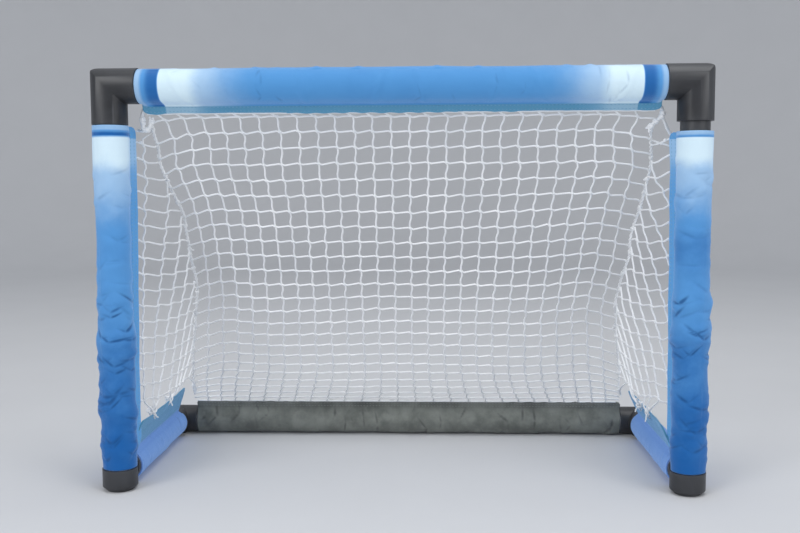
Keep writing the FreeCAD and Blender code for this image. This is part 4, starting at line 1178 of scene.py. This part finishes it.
for side, sign in SIDES.items():
    luck = np.random.default_rng(500 if sign < 0 else 530)
    lines, knots = [], []
    for out, y, z in BASE_TIES[side]:
        centre = np.array([sign * out, y, z])
        for _ in range(5):
            first, second = luck.normal(size=3), luck.normal(size=3)
            first /= np.linalg.norm(first)
            second -= first * (second @ first)
            second /= np.linalg.norm(second)
            angle = np.linspace(0, math.tau * 1.15, 16)[:, None]
            reach = luck.uniform(2.6, 4.6)
            loop = (first * np.cos(angle) * 1.25 + second * np.sin(angle)) * reach
            lines.append((centre + luck.uniform(-1.6, 1.6, 3) + loop) * mm)
        for _ in range(3):
            f = np.linspace(0, 1, 6)[:, None]
            way = np.array([-sign * luck.uniform(2, 7), luck.uniform(-9, 9), luck.uniform(-12, 3)])
            lines.append((centre + way * f + luck.uniform(-2, 2, 3) * np.sin(f * 3)) * mm)
        pierce = [[0, 0, 2], [-sign * 3, -1, -4], [sign * 1, 0, -9], [sign * 4, 1, -4], [0, 1, 2]]
        lines.append((centre + np.array(pierce)) * mm)
        knots.append(centre * mm)
    netting(f"{side}_base_ties", f"{side}_base_knots", lines, knots, radius=0.95, knot=2.8)


# The floor, the light and the camera.
# A pale round sweep of studio paper, lit from overhead and from both sides by large soft lamps.

studio_paper = grained("pale studio paper", (0.57, 0.58, 0.60), (0.60, 0.61, 0.63),
                       (2, 2.0), (0.85, 0.05), (0.05, 0.1), cloud=180)
flat_reach, curve_radius, around = 3.0, 1.6, 96
sweep = [(reach, 0.0) for reach in (0.4, 1.0, 2.0, flat_reach)]
sweep += [(flat_reach + curve_radius * math.sin(a), curve_radius - curve_radius * math.cos(a))
          for a in np.linspace(0.12, math.pi / 2, 16)]
sweep += [(flat_reach + curve_radius, curve_radius + 1.0)]
verts = [(0.0, 0.0, 0.0)] + [(reach * math.cos(a), reach * math.sin(a), z) for reach, z in sweep
                             for a in np.linspace(0, math.tau, around, endpoint=False)]
faces = [(0, 1 + k, 1 + (k + 1) % around) for k in range(around)]
for ring in range(len(sweep) - 1):
    for k in range(around):
        near, far = 1 + ring * around, 1 + (ring + 1) * around
        faces.append((near + k, far + k, far + (k + 1) % around, near + (k + 1) % around))
floor_mesh = bpy.data.meshes.new("studio sweep")
floor_mesh.from_pydata(verts, [], faces)
floor_mesh.shade_smooth()
floor_mesh.materials.append(studio_paper)
placed("studio_sweep", floor_mesh)


def lamp(name, place, aim, size, power):
    light = bpy.data.lights.new(name, "AREA")
    light.shape = "DISK"
    light.size = size
    light.energy = power
    holder = placed(name, light)
    holder.location = place
    holder.rotation_euler = (Vector(aim) - Vector(place)).to_track_quat("-Z", "Y").to_euler()


lamp("overhead softbox", (0.3, -0.5, 2.4), (0, 0, 0.2), 1.8, 22)
lamp("left softbox", (-2.3, -2.9, 2.1), (0, 0, 0.25), 2.2, 62)
lamp("right softbox", (2.6, -2.5, 1.9), (0, 0, 0.25), 2.2, 38)

world = bpy.data.worlds.new("studio room")
world.use_nodes = True
bpy.context.scene.world = world
room = Tree(world.node_tree)
world.node_tree.nodes.clear()
air = room.node("ShaderNodeBackground", {}, {"Color": (0.92, 0.95, 1.0), "Strength": 0.55})
room.node("ShaderNodeOutputWorld", {}, {"Surface": air})

camera = bpy.data.cameras.new("photograph view")
camera.sensor_width = 36
camera.lens = 42.84
camera.clip_end = 50
yaw, pitch, roll = (math.radians(a) for a in (2.107, 4.891, -0.2455))
ahead = Vector((-math.sin(yaw) * math.cos(pitch), math.cos(yaw) * math.cos(pitch), -math.sin(pitch)))
level = Vector((math.cos(yaw), math.sin(yaw), 0))
upward = level.cross(ahead)
right = level * math.cos(roll) + upward * math.sin(roll)
over = upward * math.cos(roll) - level * math.sin(roll)
stand = placed("photograph view", camera)
stand.matrix_world = Matrix.Translation(Vector((40.4, -1230.2, 359.8)) * mm) @ Matrix(
    (right, over, -ahead)).transposed().to_4x4()
bpy.context.scene.camera = stand
bpy.context.scene.view_settings.view_transform = "Standard"
